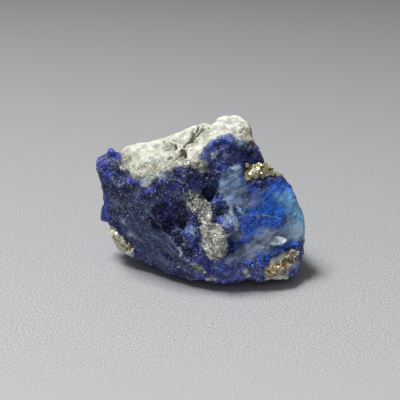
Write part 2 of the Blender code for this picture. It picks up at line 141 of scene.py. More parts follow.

# Where the minerals lie on the best face, in mm across and up it, from the lowest layer up. Marks
# have no order, because the strongest one counts at each place. The dark mark is painted shade,
# and the dull mark is dull stone in places and painted shade on the cap's rim and ends
FACE = [
    Area("calcite cap", "white", 0.48, 1, [
        (-11.9, 16.5), (-11.4, 14.9), (-10.8, 13.5), (-9.7, 12.4), (-8.7, 11.2), (-7.6, 10.8),
        (-6.6, 11.6), (-5.6, 12.2), (-4.7, 12.7), (-3.4, 13.4), (-1.9, 13.9), (-0.7, 13.3),
        (0.4, 12.6), (1, 12.9), (0.7, 14), (0.1, 15.2), (0.6, 16.4), (1.5, 17.2), (2.6, 17.7),
        (3.8, 18.1), (4.7, 17.6), (5.7, 17.2), (6.8, 16.8), (7.8, 17.4), (8.1, 19.4), (6.9, 22.2),
        (3.4, 23), (-7.2, 20.5), (-12.6, 18.5),
    ]),
    Blobs("dull and shaded parts of the cap", "dull", [
        ((-11.2, 13.4), (1.84, 1.41), 20, 1, 1), ((-4.9, 13.3), (3.67, 0.85), -5, 1, 0.6),
        ((-7.1, 14.7), (1.98, 0.71), 20, 1, 0.35), ((-2, 13.7), (1.41, 0.71), 0, 0.9, 1),
        ((5.9, 19.6), (0.99, 1.13), 0, 0.9, 0.5), ((-0.4, 14.8), (1.13, 0.85), 0, 0.9, 1),
        ((5.2, 18.2), (1.27, 0.99), 30, 0.9, 0.9), ((-4.1, 16.5), (1.69, 1.13), 15, 0.8, 0.9),
        ((-3.2, 15), (1.69, 1.13), 0, 0.8, 0.9), ((-1.2, 13.8), (2.54, 1.27), -5, 0.9, 0.8),
        ((0.7, 13.4), (0.71, 0.85), 0, 0.9, 1), ((6.4, 18.3), (1.55, 1.69), 0, 0.9, 1),
        ((3, 18.6), (0.85, 0.71), 0, 0.9, 0.05),
    ]),
    Blob("grey stone of the dirty end", "grey", (-11, 13.4), (0.85, 0.71), 20, 1, 0.5),
    Blobs("dark and brown grains of the cap", "stain", [
        ((-10.4, 12.8), (0.42, 0.85), -30, 0.8, 0.55), ((-11.8, 14.1), (0.28, 0.28), 0, 0.6, 0.6),
        ((-4.2, 14.7), (0.42, 0.25), 20, 0.8, 0.7), ((-2.1, 16.3), (0.28, 0.42), -20, 0.8, 0.8),
        ((-3.5, 16.3), (0.34, 0.21), 0, 0.8, 0.8), ((-2.6, 15.4), (0.71, 0.78), -20, 0.9, 0.7),
        ((-3.4, 14.4), (0.99, 0.28), 25, 0.8, 0.45), ((-2.6, 15.8), (0.28, 0.31), 0, 0.6, 0.9),
        ((-2.1, 15), (0.25, 0.23), 0, 0.6, 0.9), ((-5.4, 17.1), (0.17, 0.28), 0, 0.6, 0.6),
        ((-1.1, 17.6), (0.56, 0.35), 40, 0.8, 0.7), ((0.3, 19.5), (0.21, 0.14), 0, 0.6, 0.8),
        ((1.1, 19.1), (0.23, 0.16), 20, 0.6, 0.8), ((-0.6, 19.6), (0.18, 0.13), 0, 0.6, 0.6),
        ((3, 20), (1.27, 0.28), -10, 0.9, 0.25), ((5.5, 18.4), (0.35, 0.14), -20, 0.6, 0.5),
        ((6, 18.6), (0.28, 0.18), 0, 0.6, 0.5), ((7.1, 16.7), (0.64, 0.78), -40, 0.9, 0.75),
    ]),
    Blobs("dull tones of the grey column", "dull", [
        ((0.7, 7.2), (0.99, 0.85), 0, 0.9, 0.5), ((-1.1, 8.8), (1.69, 1.41), 0, 0.9, 1),
        ((1, 7.2), (1.27, 1.69), 20, 0.9, 0.6),
    ]),
    Area("shaded left end of the cap", "dull", 0.35, 1, [
        (-11.6, 16.2), (-10.2, 16), (-9.7, 14.5), (-10.5, 13.3), (-11.4, 14.5),
    ]),
    Area("shaded rim of the cap", "dull", 0.56, 1, [
        (-9.6, 13.6), (-7.1, 14.3), (-4.6, 14.8), (-2.6, 15), (-1, 14.4), (0.4, 13.6), (-0.1, 12.7),
        (-2.2, 13.1), (-4.5, 12.7), (-6.7, 11.9), (-8.1, 11.4), (-9.3, 12.2),
    ]),
    Line("dull band before the crest", "dull", 0.56, 0.42, 0.1, [
        (0.7, 15.8), (1.8, 17.2), (4.1, 18.4), (5.8, 19),
    ]),
    Line("dull stretch beside the crack", "dull", 0.78, 0.35, 0.65, [
        (-2, 16.4), (-1.1, 17.5), (0.3, 18.9),
    ]),
    Line("crack in the cap", "stain", 0.21, 0.17, 0.6, [
        (-2, 16.9), (-1.3, 17.2), (-0.6, 17.9), (0.1, 18.9),
    ]),
    Line("second crack in the cap", "stain", 0.13, 0.07, 0.7, [
        (-1.3, 17.9), (-0.7, 18.7), (-0.4, 19.4),
    ]),
    Blob("grey stone of the shoulder", "grey", (-1.1, 13.7), (2.4, 0.85), -5, 0.9, 0.55),
    Blob("milky lower edge of the shoulder", "haze", (-1.2, 13.1), (2.82, 0.56), -3, 1, 0.12),
    Line("milky edge by the hollow", "haze", 0.14, 0.42, 0.18, [
        (0.7, 13.6), (0.3, 15.1), (0.7, 16.4), (1.7, 17.2), (2.9, 17.7), (4.3, 17.8), (5.7, 17.1),
    ]),
    Line("milky edge of the cap", "haze", 0.21, 0.49, 0.4, [
        (-10, 12.5), (-8.3, 11.2), (-6.6, 11.9), (-5.1, 12.6),
    ]),
    Blobs("veils along the lower edge of the cap", "haze", [
        ((5.8, 16.5), (1.27, 0.85), 0, 1, 0.2), ((-8.3, 11.7), (1.27, 0.71), 25, 0.9, 0.75),
        ((-5.6, 12.2), (1.27, 0.56), 10, 0.9, 0.25),
    ]),
    Blob("blue under the veil of the cap", "violet", (-4, 11.1), (1.69, 0.56), -5, 1, 0.4),
    Blobs("veils along the shoulder", "haze", [
        ((-4, 11.8), (0.85, 0.56), 0, 1, 0.18), ((-1.5, 12.4), (1.69, 0.42), -5, 1, 0.1),
    ]),
    Blob("right lump of the knob", "violet", (-12.6, 15.4), (0.92, 0.85), 0, 0.6, 1),
    Blob("bright side of the knob", "royal", (-12, 15.1), (0.56, 0.85), 10, 0.8, 0.6),
    Blob("left lump of the knob", "violet", (-13.8, 14.1), (1.06, 1.34), 10, 0.7, 1),
    Blob("blue crown of the left lump", "royal", (-14, 14.8), (0.56, 0.56), 0, 0.8, 0.2),
    Blobs("blue foot of the knob", "violet", [
        ((-13.2, 12.5), (1.13, 0.85), 0, 0.8, 0.7), ((-12.7, 11.3), (1.41, 0.71), -30, 0.9, 0.5),
    ]),
    Blobs("grey glints on the left", "haze", [
        ((-12.3, 11.7), (0.71, 0.28), -20, 0.7, 0.35), ((-11.6, 11.1), (0.99, 0.23), -18, 0.7, 0.5),
    ]),
    Blob("dark hole on the left", "dark", (-10.6, 10.4), (0.92, 0.85), 0, 0.8, 0.7),
    Blobs("shades round the upper knob", "dark", [
        ((-12.2, 13.4), (0.42, 0.71), -20, 0.8, 0.5), ((-13.1, 14.5), (1.41, 1.69), 0, 0.9, 0.6),
        ((-11.8, 14.5), (0.71, 0.56), 0, 0.9, 0.5),
    ]),
    Blob("blue strip beside the dirty end", "violet", (-9.4, 11.4), (1.55, 0.49), -18, 0.8, 0.95),
    Blob("violet crystal", "violet", (-6.6, 10.4), (0.85, 0.49), 35, 0.5, 0.6),
    Blob("lit side of the violet crystal", "royal", (-6.6, 10.4), (0.42, 0.28), 35, 0.6, 0.12),
    Blob("shade under the violet crystal", "dark", (-7.6, 9.3), (0.85, 0.56), 0, 0.8, 0.5),
    Blobs("dull grains of the left face", "haze", [
        ((-9.1, 10), (0.85, 0.56), 0, 1, 0.22), ((-10.3, 8.3), (0.71, 0.42), -35, 1, 0.22),
        ((-12.1, 8.5), (1.69, 0.99), -30, 1, 0.2), ((-7.1, 7.9), (1.41, 0.85), -35, 1, 0.16),
    ]),
    Blob("blue under the cap", "violet", (-2.9, 11.6), (3.39, 0.99), 5, 0.9, 0.25),
    Blob("brighter blue under the shoulder", "royal", (-1.1, 11.5), (1.69, 0.56), 10, 0.9, 0.12),
    Blobs("shades under the cap", "dark", [
        ((-0.7, 11.9), (1.98, 0.85), 0, 0.9, 0.6), ((-1.5, 11.6), (1.69, 0.71), 5, 0.9, 0.45),
    ]),
    Blob("blue left of the grey patch", "violet", (-4, 10.3), (1.27, 0.99), 30, 0.9, 0.5),
    Blob("pale grains left of the grey patch", "haze", (-3.6, 9.8), (0.99, 0.42), 35, 0.9, 0.28),
    Line("pale bit under the cap", "haze", 0.1, 0.08, 0.7, [(-2.9, 11.6), (-2.6, 11.1)]),
    Area("dark hollow", "dark", 0.85, 0.32, [
        (-5.7, 8.8), (-4.8, 9.4), (-3.9, 9.3), (-2.8, 9.6), (-2.1, 8.2), (-1.5, 7.1), (-1.2, 5.8),
        (-2.5, 5), (-3.2, 3.9), (-4.1, 4.1), (-5.1, 5.5), (-5.9, 7.1),
    ]),
    Blobs("deepest parts of the dark hollow", "dark", [
        ((-2.4, 8.1), (1.13, 1.27), 0, 0.9, 0.55), ((-2.4, 3.6), (1.13, 0.85), -40, 0.9, 0.2),
    ]),
    Line("violet streak in the hollow", "violet", 0.31, 0.2, 0.85, [
        (-4.8, 9.4), (-4.6, 8), (-4.7, 5.8),
    ]),
    Line("second violet streak", "violet", 0.23, 0.2, 0.7, [(-3.9, 8.5), (-4.1, 6.9)]),
    Line("pale ridge", "white", 0.04, 0.08, 0.65, [(-6.2, 5.8), (-5.3, 4.7), (-4.3, 3.6), (-3.9, 2.9)]),
    Line("end of the pale ridge", "haze", 0.07, 0.11, 0.35, [
        (-3.9, 2.9), (-2.8, 1.6), (-1.5, 0.2), (-0.1, -1.2), (0.8, -2.5),
    ]),
    Line("start of the pale ridge", "haze", 0.06, 0.11, 0.35, [(-7.7, 7.6), (-7, 6.8), (-6.2, 5.8)]),
    Blob("white grain on the ridge", "white", (-6.9, 6.4), (0.21, 0.17), 0, 0.6, 0.8),
    Line("fine line beside the ridge", "haze", 0.08, 0.08, 0.3, [
        (-7.8, 4.1), (-6.1, 3.5), (-4.6, 2.4), (-3.5, 1.4),
    ]),
    Line("second fine line", "haze", 0.08, 0.08, 0.15, [
        (-10.3, 7.5), (-9.2, 5.8), (-8.4, 4.3), (-7, 2.6), (-5.1, 0.6),
    ]),
    Line("third fine line", "haze", 0.11, 0.11, 0.15, [
        (-7.2, 4.4), (-5.8, 2.7), (-4.1, 1), (-2.4, -0.7),
    ]),
    Area("smooth left facet", "haze", 0.71, 0.05, [
        (-10.1, 7.2), (-7.1, 7.1), (-5.8, 4.9), (-3.5, 2), (0.1, -1.8), (-4.4, -1.2), (-9.2, 0.7),
        (-11.4, 4.3),
    ]),
    Area("silky left face", "silk", 1.13, 0.45, [
        (-13.1, 11.1), (-10.4, 10.8), (-7.1, 8.3), (-7.2, 5.8), (-11.7, 5.1), (-13.8, 7.4),
    ]),
    Area("silky left facet", "silk", 0.56, 0.9, [
        (-10.4, 6.9), (-7.7, 5.5), (-6.1, 5.2), (-4.9, 3.6), (-2.9, 1), (0.7, -2.4), (-4.4, -1.6),
        (-9.2, 0.4), (-11.8, 3.4),
    ]),
    Blobs("lavender flecks", "haze", [
        ((-11, 5.7), (0.71, 0.4), -45, 0.8, 0.45), ((-9.9, 3.9), (0.99, 0.4), -48, 0.8, 0.6),
        ((-8.7, 3), (0.56, 0.31), -40, 0.8, 0.4),
    ]),
    Blob("grey-green patch on the left", "grey", (-8.7, 6.6), (0.99, 0.49), 10, 0.9, 0.3),
    Blob("pale grain of that patch", "white", (-8.3, 6.4), (0.49, 0.23), 0, 0.7, 0.5),
    Blob("dark green patch", "stain", (-7.4, 5.7), (0.99, 0.42), -8, 0.8, 0.45),
    Blob("violet stripe of the facet", "violet", (-7.2, 3.5), (1.69, 0.56), -45, 1, 0.5),
    Blob("second violet stripe", "violet", (-8.7, 1.7), (1.69, 0.56), -42, 1, 0.45),
    Blob("blue over the cream edge", "violet", (-12.1, 4.2), (1.13, 1.13), 0, 0.9, 0.6),
    Blob("slate foot of the facet", "haze", (-5.1, 0.1), (1.98, 0.71), -35, 1, 0.12),
    Blob("slate foot by the ridge", "haze", (-1.3, -1.1), (1.69, 0.56), -30, 1, 0.22),
    Area("small knob on the left", "violet", 0.17, 0.9, [
        (-14.1, 8.9), (-13.2, 9.7), (-13.1, 8.2), (-13.3, 6.4), (-13.6, 5.6), (-14.6, 5.8),
        (-14.7, 7.8),
    ]),
    Area("bright blue of that knob", "royal", 0.17, 0.3, [
        (-14.8, 9.2), (-13.2, 10), (-12.8, 8.2), (-13.2, 6.3), (-13.7, 5.3), (-15, 6.1),
    ]),
    Blob("light foot of that knob", "sky", (-14.3, 6.5), (0.56, 0.35), 0, 0.8, 0.25),
    Area("cream edge on the left", "white", 0.23, 0.8, [
        (-14, 5.8), (-13, 5.1), (-12.2, 3.8), (-11.3, 3.1), (-10.6, 2.3), (-10, 1.6), (-9.7, 1),
        (-10.3, -0.2), (-12.9, 1.2), (-14.6, 3.8), (-14.4, 5.5),
    ]),
    Blobs("brown and olive flecks on the cream edge", "stain", [
        ((-12.8, 3.8), (0.42, 0.42), 0, 0.8, 0.5), ((-11.7, 2.3), (0.42, 0.28), -30, 0.8, 0.5),
        ((-10.8, 1.8), (0.21, 0.21), 0, 0.7, 0.8), ((-12.3, 2.9), (0.35, 0.21), 40, 0.7, 0.8),
    ]),
    Line("white bit in the hollow", "white", 0.03, 0.08, 0.5, [(-3.5, 6.8), (-3.5, 5.9)]),
    Line("second white bit", "white", 0.06, 0.1, 0.5, [(-4.1, 4.3), (-3.5, 4.7), (-2.9, 4.8)]),
    Line("third white bit", "haze", 0.04, 0.1, 0.6, [(-3.4, 5.4), (-3.4, 4.5)]),
    Blob("white grain by the ridge", "white", (-2.5, 2.6), (0.4, 0.25), 0, 0.6, 0.95),
    Line("white bit below it", "white", 0.07, 0.1, 0.75, [(-3.1, 2.2), (-2.8, 1)]),
    Blobs("white grains at the foot", "white", [
        ((-1.8, 0.3), (0.42, 0.2), -10, 0.6, 0.9), ((-1.1, 0.8), (0.18, 0.42), 20, 0.6, 0.8),
        ((-3.2, -0.5), (0.28, 0.21), 0, 0.6, 0.6),
    ]),
    Area("grey-green patch", "grey", 0.56, 0.5, [
        (-2.6, 9.7), (-1.5, 10.3), (-0.1, 10.1), (0.6, 9.4), (0.3, 8.5), (0.8, 7.6), (-0, 7.1),
        (-1.5, 7.1), (-2.4, 8.1),
    ]),
    Area("tan column", "grey", 0.2, 0.95, [
        (-0.1, 8.8), (0.7, 9), (1.2, 8.3), (1.5, 7.1), (1.2, 5.8), (1.8, 5.3), (1.4, 4.5),
        (0.3, 4.7), (-0.3, 6.1), (-0.3, 7.5),
    ]),
    Area("grey lump", "grey", 0.2, 1, [
        (-0.8, 4.7), (0.1, 5.3), (1.5, 5.7), (2.6, 5.6), (3.4, 4.5), (3.6, 3.3), (3.9, 2.2),
        (3.5, 1.1), (2.2, 0.5), (1.4, 0.5), (0.7, 1.7), (-0.1, 2.8), (-0.7, 3.8),
    ]),
    Blobs("bright parts of the grey lump", "white", [
        ((2.1, 4.8), (1.13, 0.85), 0, 0.8, 0.75), ((0.3, 4.2), (0.71, 0.85), 0, 0.8, 1),
        ((1.8, 3), (0.99, 1.84), 25, 0.9, 0.55),
    ]),
    Line("olive streak", "stain", 0.28, 0.17, 0.75, [(-1.5, 8.2), (-0.7, 9), (0.4, 9.6)]),
    Blob("frost left of the grey patch", "haze", (-2.3, 9.4), (0.85, 0.56), 35, 0.9, 0.4),
    Blobs("dirt of the grey column", "stain", [
        ((-0.7, 9.7), (0.71, 0.35), 20, 0.9, 0.5), ((3.2, 1.8), (0.71, 0.71), 40, 0.8, 0.8),
        ((0.8, 7), (0.42, 0.71), 0, 0.9, 0.4),
    ]),
    Area("violet crystal beside the lump", "violet", 0.21, 1, [
        (-2.5, 4.4), (-1.5, 5.6), (-0.6, 6), (-0.1, 4.5), (0.1, 2.6), (-0.3, 1.8), (-1.5, 2.3),
        (-2.2, 3.4),
    ]),
    Blob("violet front of that crystal", "violet", (-1.4, 3.6), (1.27, 0.99), -20, 0.9, 0.8),
    Blob("frost on that crystal", "haze", (-1.1, 4.7), (0.85, 0.56), -30, 0.9, 0.6),
    Blob("lit side of that crystal", "royal", (-1, 3.3), (0.71, 0.99), -20, 0.9, 0.35),
    Blobs("veils on the crystal and the lump", "haze", [
        ((-1.2, 4.5), (1.27, 0.85), -35, 0.9, 0.8), ((0, 2.9), (0.49, 1.13), 0, 0.8, 0.8),
        ((-0.3, 3.9), (0.71, 0.56), 0, 1, 0.3),
    ]),
    Blob("crystal over the notch", "violet", (2.2, 9), (1.06, 0.64), 0, 0.6, 1),
    Blob("lit top of that crystal", "royal", (1.9, 9.2), (0.56, 0.35), 0, 0.8, 0.7),
    Blob("notch", "dark", (2.8, 7.9), (1.06, 0.78), 0, 0.7, 0.35),
    Blob("blue depth of the notch", "royal", (2.8, 7.9), (0.99, 0.71), 0, 0.9, 0.4),
    Blob("blue depth of the recess", "violet", (1.4, 10.4), (1.27, 1.13), 30, 0.9, 0.9),
    Blob("faint light of the recess", "haze", (1.4, 10.4), (1.13, 1.13), 0, 1, 0.3),
    Blob("top of the recess", "dark", (1.8, 11.5), (0.56, 0.85), 0, 0.9, 0.02),
    Blob("blue crystal beside the vein", "violet", (2.9, 6.1), (1.13, 0.99), 0, 0.7, 0.9),
    Blob("frost by the notch crystal", "haze", (1.1, 5.4), (0.71, 0.85), 0, 1, 0.5),
    Blob("bright spot of that crystal", "royal", (2.5, 6.3), (0.51, 0.42), 0, 0.8, 0.6),
    Blob("violet crystal in the vein", "violet", (4, 5.6), (0.85, 0.85), 0, 0.8, 0.9),
    Line("vein round the crystal", "haze", 0.17, 0.17, 0.85, [
        (2.8, 7.2), (3.9, 7.4), (4.5, 6.5), (5, 5.2), (4.6, 4), (3.6, 4),
    ]),
    Blob("lavender veil by the vein", "haze", (3.7, 6), (1.13, 1.13), 0, 0.9, 0.75),
    Line("bright vein", "white", 0.04, 0.11, 0.55, [(3.9, 7.4), (4.5, 6.5), (5, 5)]),
    Line("vein over the crystal", "haze", 0.21, 0.14, 0.6, [
        (2.5, 10.4), (3.3, 9.2), (4.1, 8.1), (4.2, 7.2),
    ]),
    Area("deep pocket", "royal", 0.35, 0.65, [
        (3.5, 3.9), (4.5, 3.5), (5.4, 4.5), (6.8, 5.3), (6.9, 3.9), (5.9, 2.7), (4.8, 1.9), (3.8, 2),
    ]),
    Area("violet of the pocket", "violet", 0.35, 0.3, [
        (3.5, 3.9), (4.5, 3.5), (5.4, 4.5), (6.8, 5.3), (6.9, 3.9), (5.9, 2.7), (4.8, 1.9), (3.8, 2),
    ]),
    Blob("shade of the pocket", "dark", (4.3, 2.7), (0.71, 0.71), 0, 1, 0.1),
    Area("blue hollow under the cap", "royal", 0.28, 0.3, [
        (0.3, 14.9), (0.6, 16.2), (1.5, 17.1), (2.9, 17.7), (4.3, 17.8), (4.7, 17.1), (3.9, 15.8),
        (2.9, 15), (1.9, 14), (1, 13.8),
    ]),
    Area("violet of that hollow", "violet", 0.42, 0.18, [
        (1, 15.8), (2.1, 16.8), (3.8, 17.4), (4.7, 17.1), (4.4, 15.8), (3.5, 14.7), (1.8, 13.8),
        (0.8, 14.1),
    ]),
    Blobs("shades of the hollow under the cap", "dark", [
        ((3.5, 15.4), (1.84, 1.13), -10, 1, 0.85), ((1.1, 15.8), (0.85, 1.13), 10, 0.9, 0.5),
        ((0.7, 15.5), (0.71, 0.99), 0, 0.9, 0.5),
    ]),
    Area("dusk of the hollow", "dark", 0.42, 0.62, [
        (0.8, 15.8), (1.8, 16.8), (4, 17.4), (5.5, 16.4), (6.2, 15.1), (5.5, 14.1), (2.9, 14),
        (1.2, 14.4),
    ]),
    Blob("violet-grey grains", "haze", (3.2, 16.2), (0.85, 0.49), 20, 0.9, 0.35),
    Blob("white grains in the hollow", "white", (1.9, 15.2), (0.42, 0.92), -30, 0.8, 0.7),
    Blob("brown grains in the hollow", "stain", (1.6, 14.9), (0.42, 0.71), -30, 0.8, 0.5),
    Blob("blue veil in the hollow", "haze", (5, 16.9), (0.99, 0.71), 0, 1, 0.25),
    Area("dark band", "dark", 0.56, 1, [
        (2.9, 14.7), (4.7, 15.4), (6.8, 15.7), (8.8, 14.8), (8.8, 13.9), (6.1, 14), (3.3, 13.8),
    ]),
    Blob("violet grains over the pyrite", "violet", (7.2, 14.6), (1.13, 0.42), -10, 0.9, 0.3),
    Area("hazy glass", "haze", 0.85, 0.27, [
        (2.1, 11.4), (3.1, 12.3), (4.2, 13.3), (5.4, 13.3), (5.6, 11.5), (6.3, 10.3), (5.5, 8.9),
        (4.8, 8.1), (3.7, 8.5), (2.9, 9.6), (2.2, 10.6),
    ]),
    Area("blue of the haze", "sky", 0.85, 0.15, [
        (2.1, 11.4), (3.1, 12.3), (4.1, 13.4), (5.4, 13.7), (5.6, 11.5), (6.3, 10.3), (5.5, 8.9),
        (4.8, 8.1), (3.7, 8.5), (2.9, 9.6), (2.2, 10.6),
    ]),
    Blob("blue spot in the haze", "violet", (2.7, 13.3), (0.99, 0.71), 0, 1, 1),
    Area("pale triangle", "haze", 0.17, 0.75, [
        (4.1, 13.3), (5.1, 13.8), (5.7, 13.7), (5.5, 12.6), (4.8, 12.9),
    ]),
    Blob("pale middle of the triangle", "sky", (4.8, 13.3), (0.71, 0.35), 10, 0.9, 0.3),
    Line("royal strip beside the pyrite", "royal", 0.14, 0.14, 0.35, [
        (5.5, 14.3), (5.6, 12.9), (5.6, 11.4),
    ]),
    # Brown stone under the upper pyrite, and painted shade in the gaps between its crystals
    Area("brown bed of the upper pyrite", "stain", 0.21, 0.75, [
        (5.5, 13.9), (7.7, 14.3), (9.5, 14.5), (10.6, 13.4), (11.7, 12.3), (8.3, 12), (5.8, 11.9),
    ]),
    Line("shade of the royal strip", "dark", 0.23, 0.14, 0.45, [(5.4, 14.4), (5.5, 12.9), (5.6, 11.4)]),
    Area("glassy face", "glass", 0.56, 1, [
        (3.4, 13), (5.6, 12.2), (11.6, 12.3), (13, 10.3), (14.6, 7.8), (15.1, 5.3), (15, 3),
        (12.7, 2.5), (9.7, 1.7), (6.6, 0.2), (4.3, 1.3), (5.4, 4), (4.8, 7.2), (3.4, 8.9),
        (2.6, 10.9),
    ]),
    Area("blue of the glassy face", "royal", 0.85, 0.6, [
        (6.2, 10.7), (9.4, 10.7), (11.8, 11.6), (13.2, 10.3), (13.5, 8.9), (11.7, 7.2), (11.8, 4.9),
        (8.5, 4.3), (5.9, 4.8), (5.3, 6.7), (7, 8.1), (6.8, 10),
    ]),
    Area("royal corner", "royal", 0.42, 0.4, [
        (9.4, 11.6), (11.6, 12), (12.9, 10.3), (12.3, 9.2), (11.1, 9.4), (9.9, 10.3),
    ]),
    Blob("pale streak of the corner", "sky", (11, 11.6), (1.13, 0.42), -10, 1, 0.12),
    Area("violet of the corner", "violet", 0.42, 0.15, [
        (9.4, 11.6), (11.6, 12), (12.9, 10.3), (12.3, 9.2), (11.1, 9.4), (9.9, 10.3),
    ]),
    Blob("shade of the face under the pyrite", "dark", (8.5, 11.1), (1.98, 0.56), 8, 1, 0.9),
    Blob("royal middle", "royal", (11.4, 7.3), (1.27, 1.13), 0, 0.8, 1),
    Blob("royal streak left of it", "royal", (9.8, 8.1), (1.27, 0.71), 25, 1, 0.6),
    # Light blue glass of the thin right edge, partly a painted glow where light shines through it
    Area("sky-blue edge", "sky", 1.13, 1, [
        (10.5, 9.3), (12.6, 9.9), (14, 8.6), (14.8, 7.2), (14.4, 6.5), (12.6, 7), (11.7, 8.2),
    ]),
    Area("pale edge below the crack", "sky", 0.99, 1, [
        (12.6, 5.9), (14.8, 6.2), (15.1, 4.7), (14.5, 3.9), (13.1, 3.8), (11.9, 4.3),
    ]),
    Area("milky edge below the crack", "haze", 0.71, 0.6, [
        (12.3, 5.8), (14.8, 6.2), (15.1, 3.9), (14.8, 3.1), (13.2, 3.5), (12.1, 4.6),
    ]),
    Blobs("pale triangle and rim at the edge", "haze", [
        ((13.7, 5.8), (0.85, 0.71), 0, 0.9, 0.85), ((13.8, 4.3), (1.41, 0.42), 0, 1, 0.4),
    ]),
    Blobs("pale streaks of the glass", "haze", [
        ((7, 8.6), (2.26, 0.99), 22, 1, 0.35), ((7.9, 9.9), (1.98, 0.56), 24, 1, 0.28),
    ]),
    Line("crack in the glassy face", "haze", 0.02, 0.08, 0.9, [
        (4.8, 8.1), (5.8, 7.1), (7, 6.8), (8.5, 6.7), (10.4, 6.5),
    ]),
    Line("end of that crack", "haze", 0.02, 0.08, 0.6, [(10.4, 6.5), (12.6, 6.6), (14.6, 6.9)]),
    Blob("bright start of the crack", "sky", (5.3, 7.5), (0.56, 0.28), -40, 0.8, 0.6),
    Blob("violet below the crack", "violet", (7, 5.8), (1.41, 0.71), 15, 1, 0.4),
    Blob("deep blue right of the crack", "royal", (8.5, 6), (1.98, 0.85), 10, 1, 0.2),
    Area("deep band of the lower glass", "dark", 0.71, 0.15, [
        (5.4, 5.9), (8.5, 5.8), (11.7, 6.1), (11.8, 4.3), (8.5, 4.7), (6, 3.9),
    ]),
    Area("deep royal left of the middle", "royal", 0.56, 0.45, [
        (5.1, 6.7), (7, 7), (9.1, 6.2), (8.8, 5), (7, 4.5), (5.4, 4.5),
    ]),
    Area("violet left of the middle", "violet", 0.56, 0.35, [
        (5.1, 6.7), (7, 7), (9.1, 6.2), (8.8, 5), (7, 4.5), (5.4, 4.5),
    ]),
    Blob("veil above the chip", "haze", (8.5, 4.6), (1.84, 0.71), 15, 1, 0.45),
    Area("chip", "haze", 0.35, 0.55, [
        (7.8, 4.6), (9.3, 5), (11.8, 4.5), (12.8, 3.6), (12.4, 2.6), (10.6, 2.4), (8.5, 2.9),
        (7.5, 3.6),
    ]),
    Line("point of the chip", "sky", 0.11, 0.14, 0.5, [(12.2, 3.6), (12.8, 3.8)]),
    Line("tail of the chip", "haze", 0.11, 0.14, 0.7, [(8.5, 4.6), (9.7, 4.4)]),
    Blob("veil left of the chip", "haze", (7.2, 3.3), (1.55, 0.71), 10, 1, 0.05),
    Blob("blue tint left of the chip", "sky", (7.6, 3.6), (1.27, 0.85), 10, 1, 0.15),
    Area("grey facets", "haze", 0.35, 0.6, [
        (5.2, 2.4), (7.5, 2.9), (9.7, 2.4), (10, 1.9), (8, 0.9), (6.1, 0.7), (4.6, 1.3),
    ]),
    Blob("white glints", "white", (8.5, 2.2), (0.42, 0.17), 0, 0.6, 0.95),
    Blob("light blue under the facets", "sky", (7.4, 1.4), (0.85, 0.42), 0, 1, 0.35),
    Area("royal band", "royal", 0.28, 0.65, [
        (11.8, 2.6), (14.8, 3), (14.6, 2.3), (12.1, 1.8), (9.7, 0.9), (8.5, 0.2), (6.3, 0.2),
        (8.5, 1.4), (10.4, 2.1),
    ]),
    Area("violet of the band", "violet", 0.28, 0.35, [
        (11.8, 2.6), (14.8, 3), (14.6, 2.3), (12.1, 1.8), (9.7, 0.9), (8.5, 0.2), (6.3, 0.2),
        (8.5, 1.4), (10.4, 2.1),
    ]),
    Area("dusk of the royal band", "dark", 0.28, 0.3, [
        (8.5, 1.9), (11.8, 2.4), (14.8, 2.9), (14.6, 2.1), (12.1, 1.5), (9.4, 0.5),
    ]),
    Area("blue foot", "violet", 0.42, 0.85, [
        (-0.3, 1.9), (1.3, 0.2), (3.8, 1.4), (5.4, 0.9), (8.5, 0.2), (11.9, 0.7), (14.8, 1.8),
        (14.8, -3.1), (-0.1, -3.8), (-1.5, 0.2),
    ]),
    Area("pale grains over the foot", "haze", 0.42, 0.22, [
        (1.8, 0.8), (5.4, 0.9), (8.5, 0.2), (8.6, -2.4), (1.8, -2.4),
    ]),
    Blob("frost of the foot", "haze", (4.3, 0.9), (1.27, 0.71), 0, 1, 0.4),
    Blob("royal under the glass", "royal", (9.1, 1.1), (2.26, 0.71), -20, 0.9, 0.5),
    Blob("grey grains under the column", "grey", (-0.3, -0.7), (1.84, 0.85), -30, 0.9, 0.75),
    Blobs("brighter blues of the foot", "royal", [
        ((2.9, -0.6), (1.41, 0.85), 0, 1, 0.7), ((6.8, 0.2), (1.27, 0.85), 0, 1, 0.75),
    ]),
    Blobs("pale grains of the foot", "haze", [
        ((3.8, 0.2), (0.56, 0.71), 0, 1, 0.5), ((5, 1.1), (0.71, 0.56), 0, 1, 0.45),
        ((7.1, 0.8), (0.99, 0.56), 0, 1, 0.4),
    ]),
    Area("tan stone round the low pyrite", "grey", 0.28, 0.85, [
        (8.9, -1.9), (8.7, -0.9), (10, 0.2), (11.4, 1.3), (13.1, 1.9), (14, 1.3), (13.7, 0.6),
        (12.8, -0.1), (12.3, -1), (12.3, -2.4), (9.8, -3),
    ]),
    Blob("light grains of the tan stone", "white", (11.1, 0.2), (2.54, 1.41), 35, 0.9, 1),
    Blob("rust at the low pyrite", "stain", (10, -0.5), (1.13, 0.49), 35, 0.9, 0.15),
    Blob("calcite behind the low pyrite", "grey", (13.1, 1.6), (0.71, 0.42), -30, 0.9, 0.4),
    Blob("blue patch at the right foot", "royal", (13.4, -0.2), (0.99, 0.99), 0, 0.7, 0.6),
    Blob("slate veil of the blue patch", "haze", (13.4, -0.2), (1.27, 1.27), 0, 0.9, 0.85),
    Blob("light blue of the blue patch", "sky", (13.4, -0.2), (0.99, 0.85), 0, 0.9, 0.3),
    Area("calcite block at the foot", "white", 0.17, 0.3, [
        (5.7, -0.5), (6.3, -0.2), (6.9, -1.3), (6.3, -1.9), (5.9, -1.5),
    ]),
    Blob("violet left of the lump", "violet", (-1.8, 4.9), (0.71, 0.56), -30, 0.9, 0.5),
    Blob("royal of the right foot", "royal", (8.5, 0.2), (1.41, 0.71), -10, 0.9, 0.5),
    Blob("frosty edge of the cap", "haze", (-4.5, 12.6), (1.13, 0.42), -20, 0.9, 0.45),
    Blob("bright crest of the cap", "white", (3.6, 20.3), (0.99, 0.42), -25, 0.9, 0.9),
    Blob("deep blue over the chip", "royal", (7.9, 4.7), (1.41, 0.71), -25, 0.9, 0.45),
    Blobs("shades of the foot", "dark", [
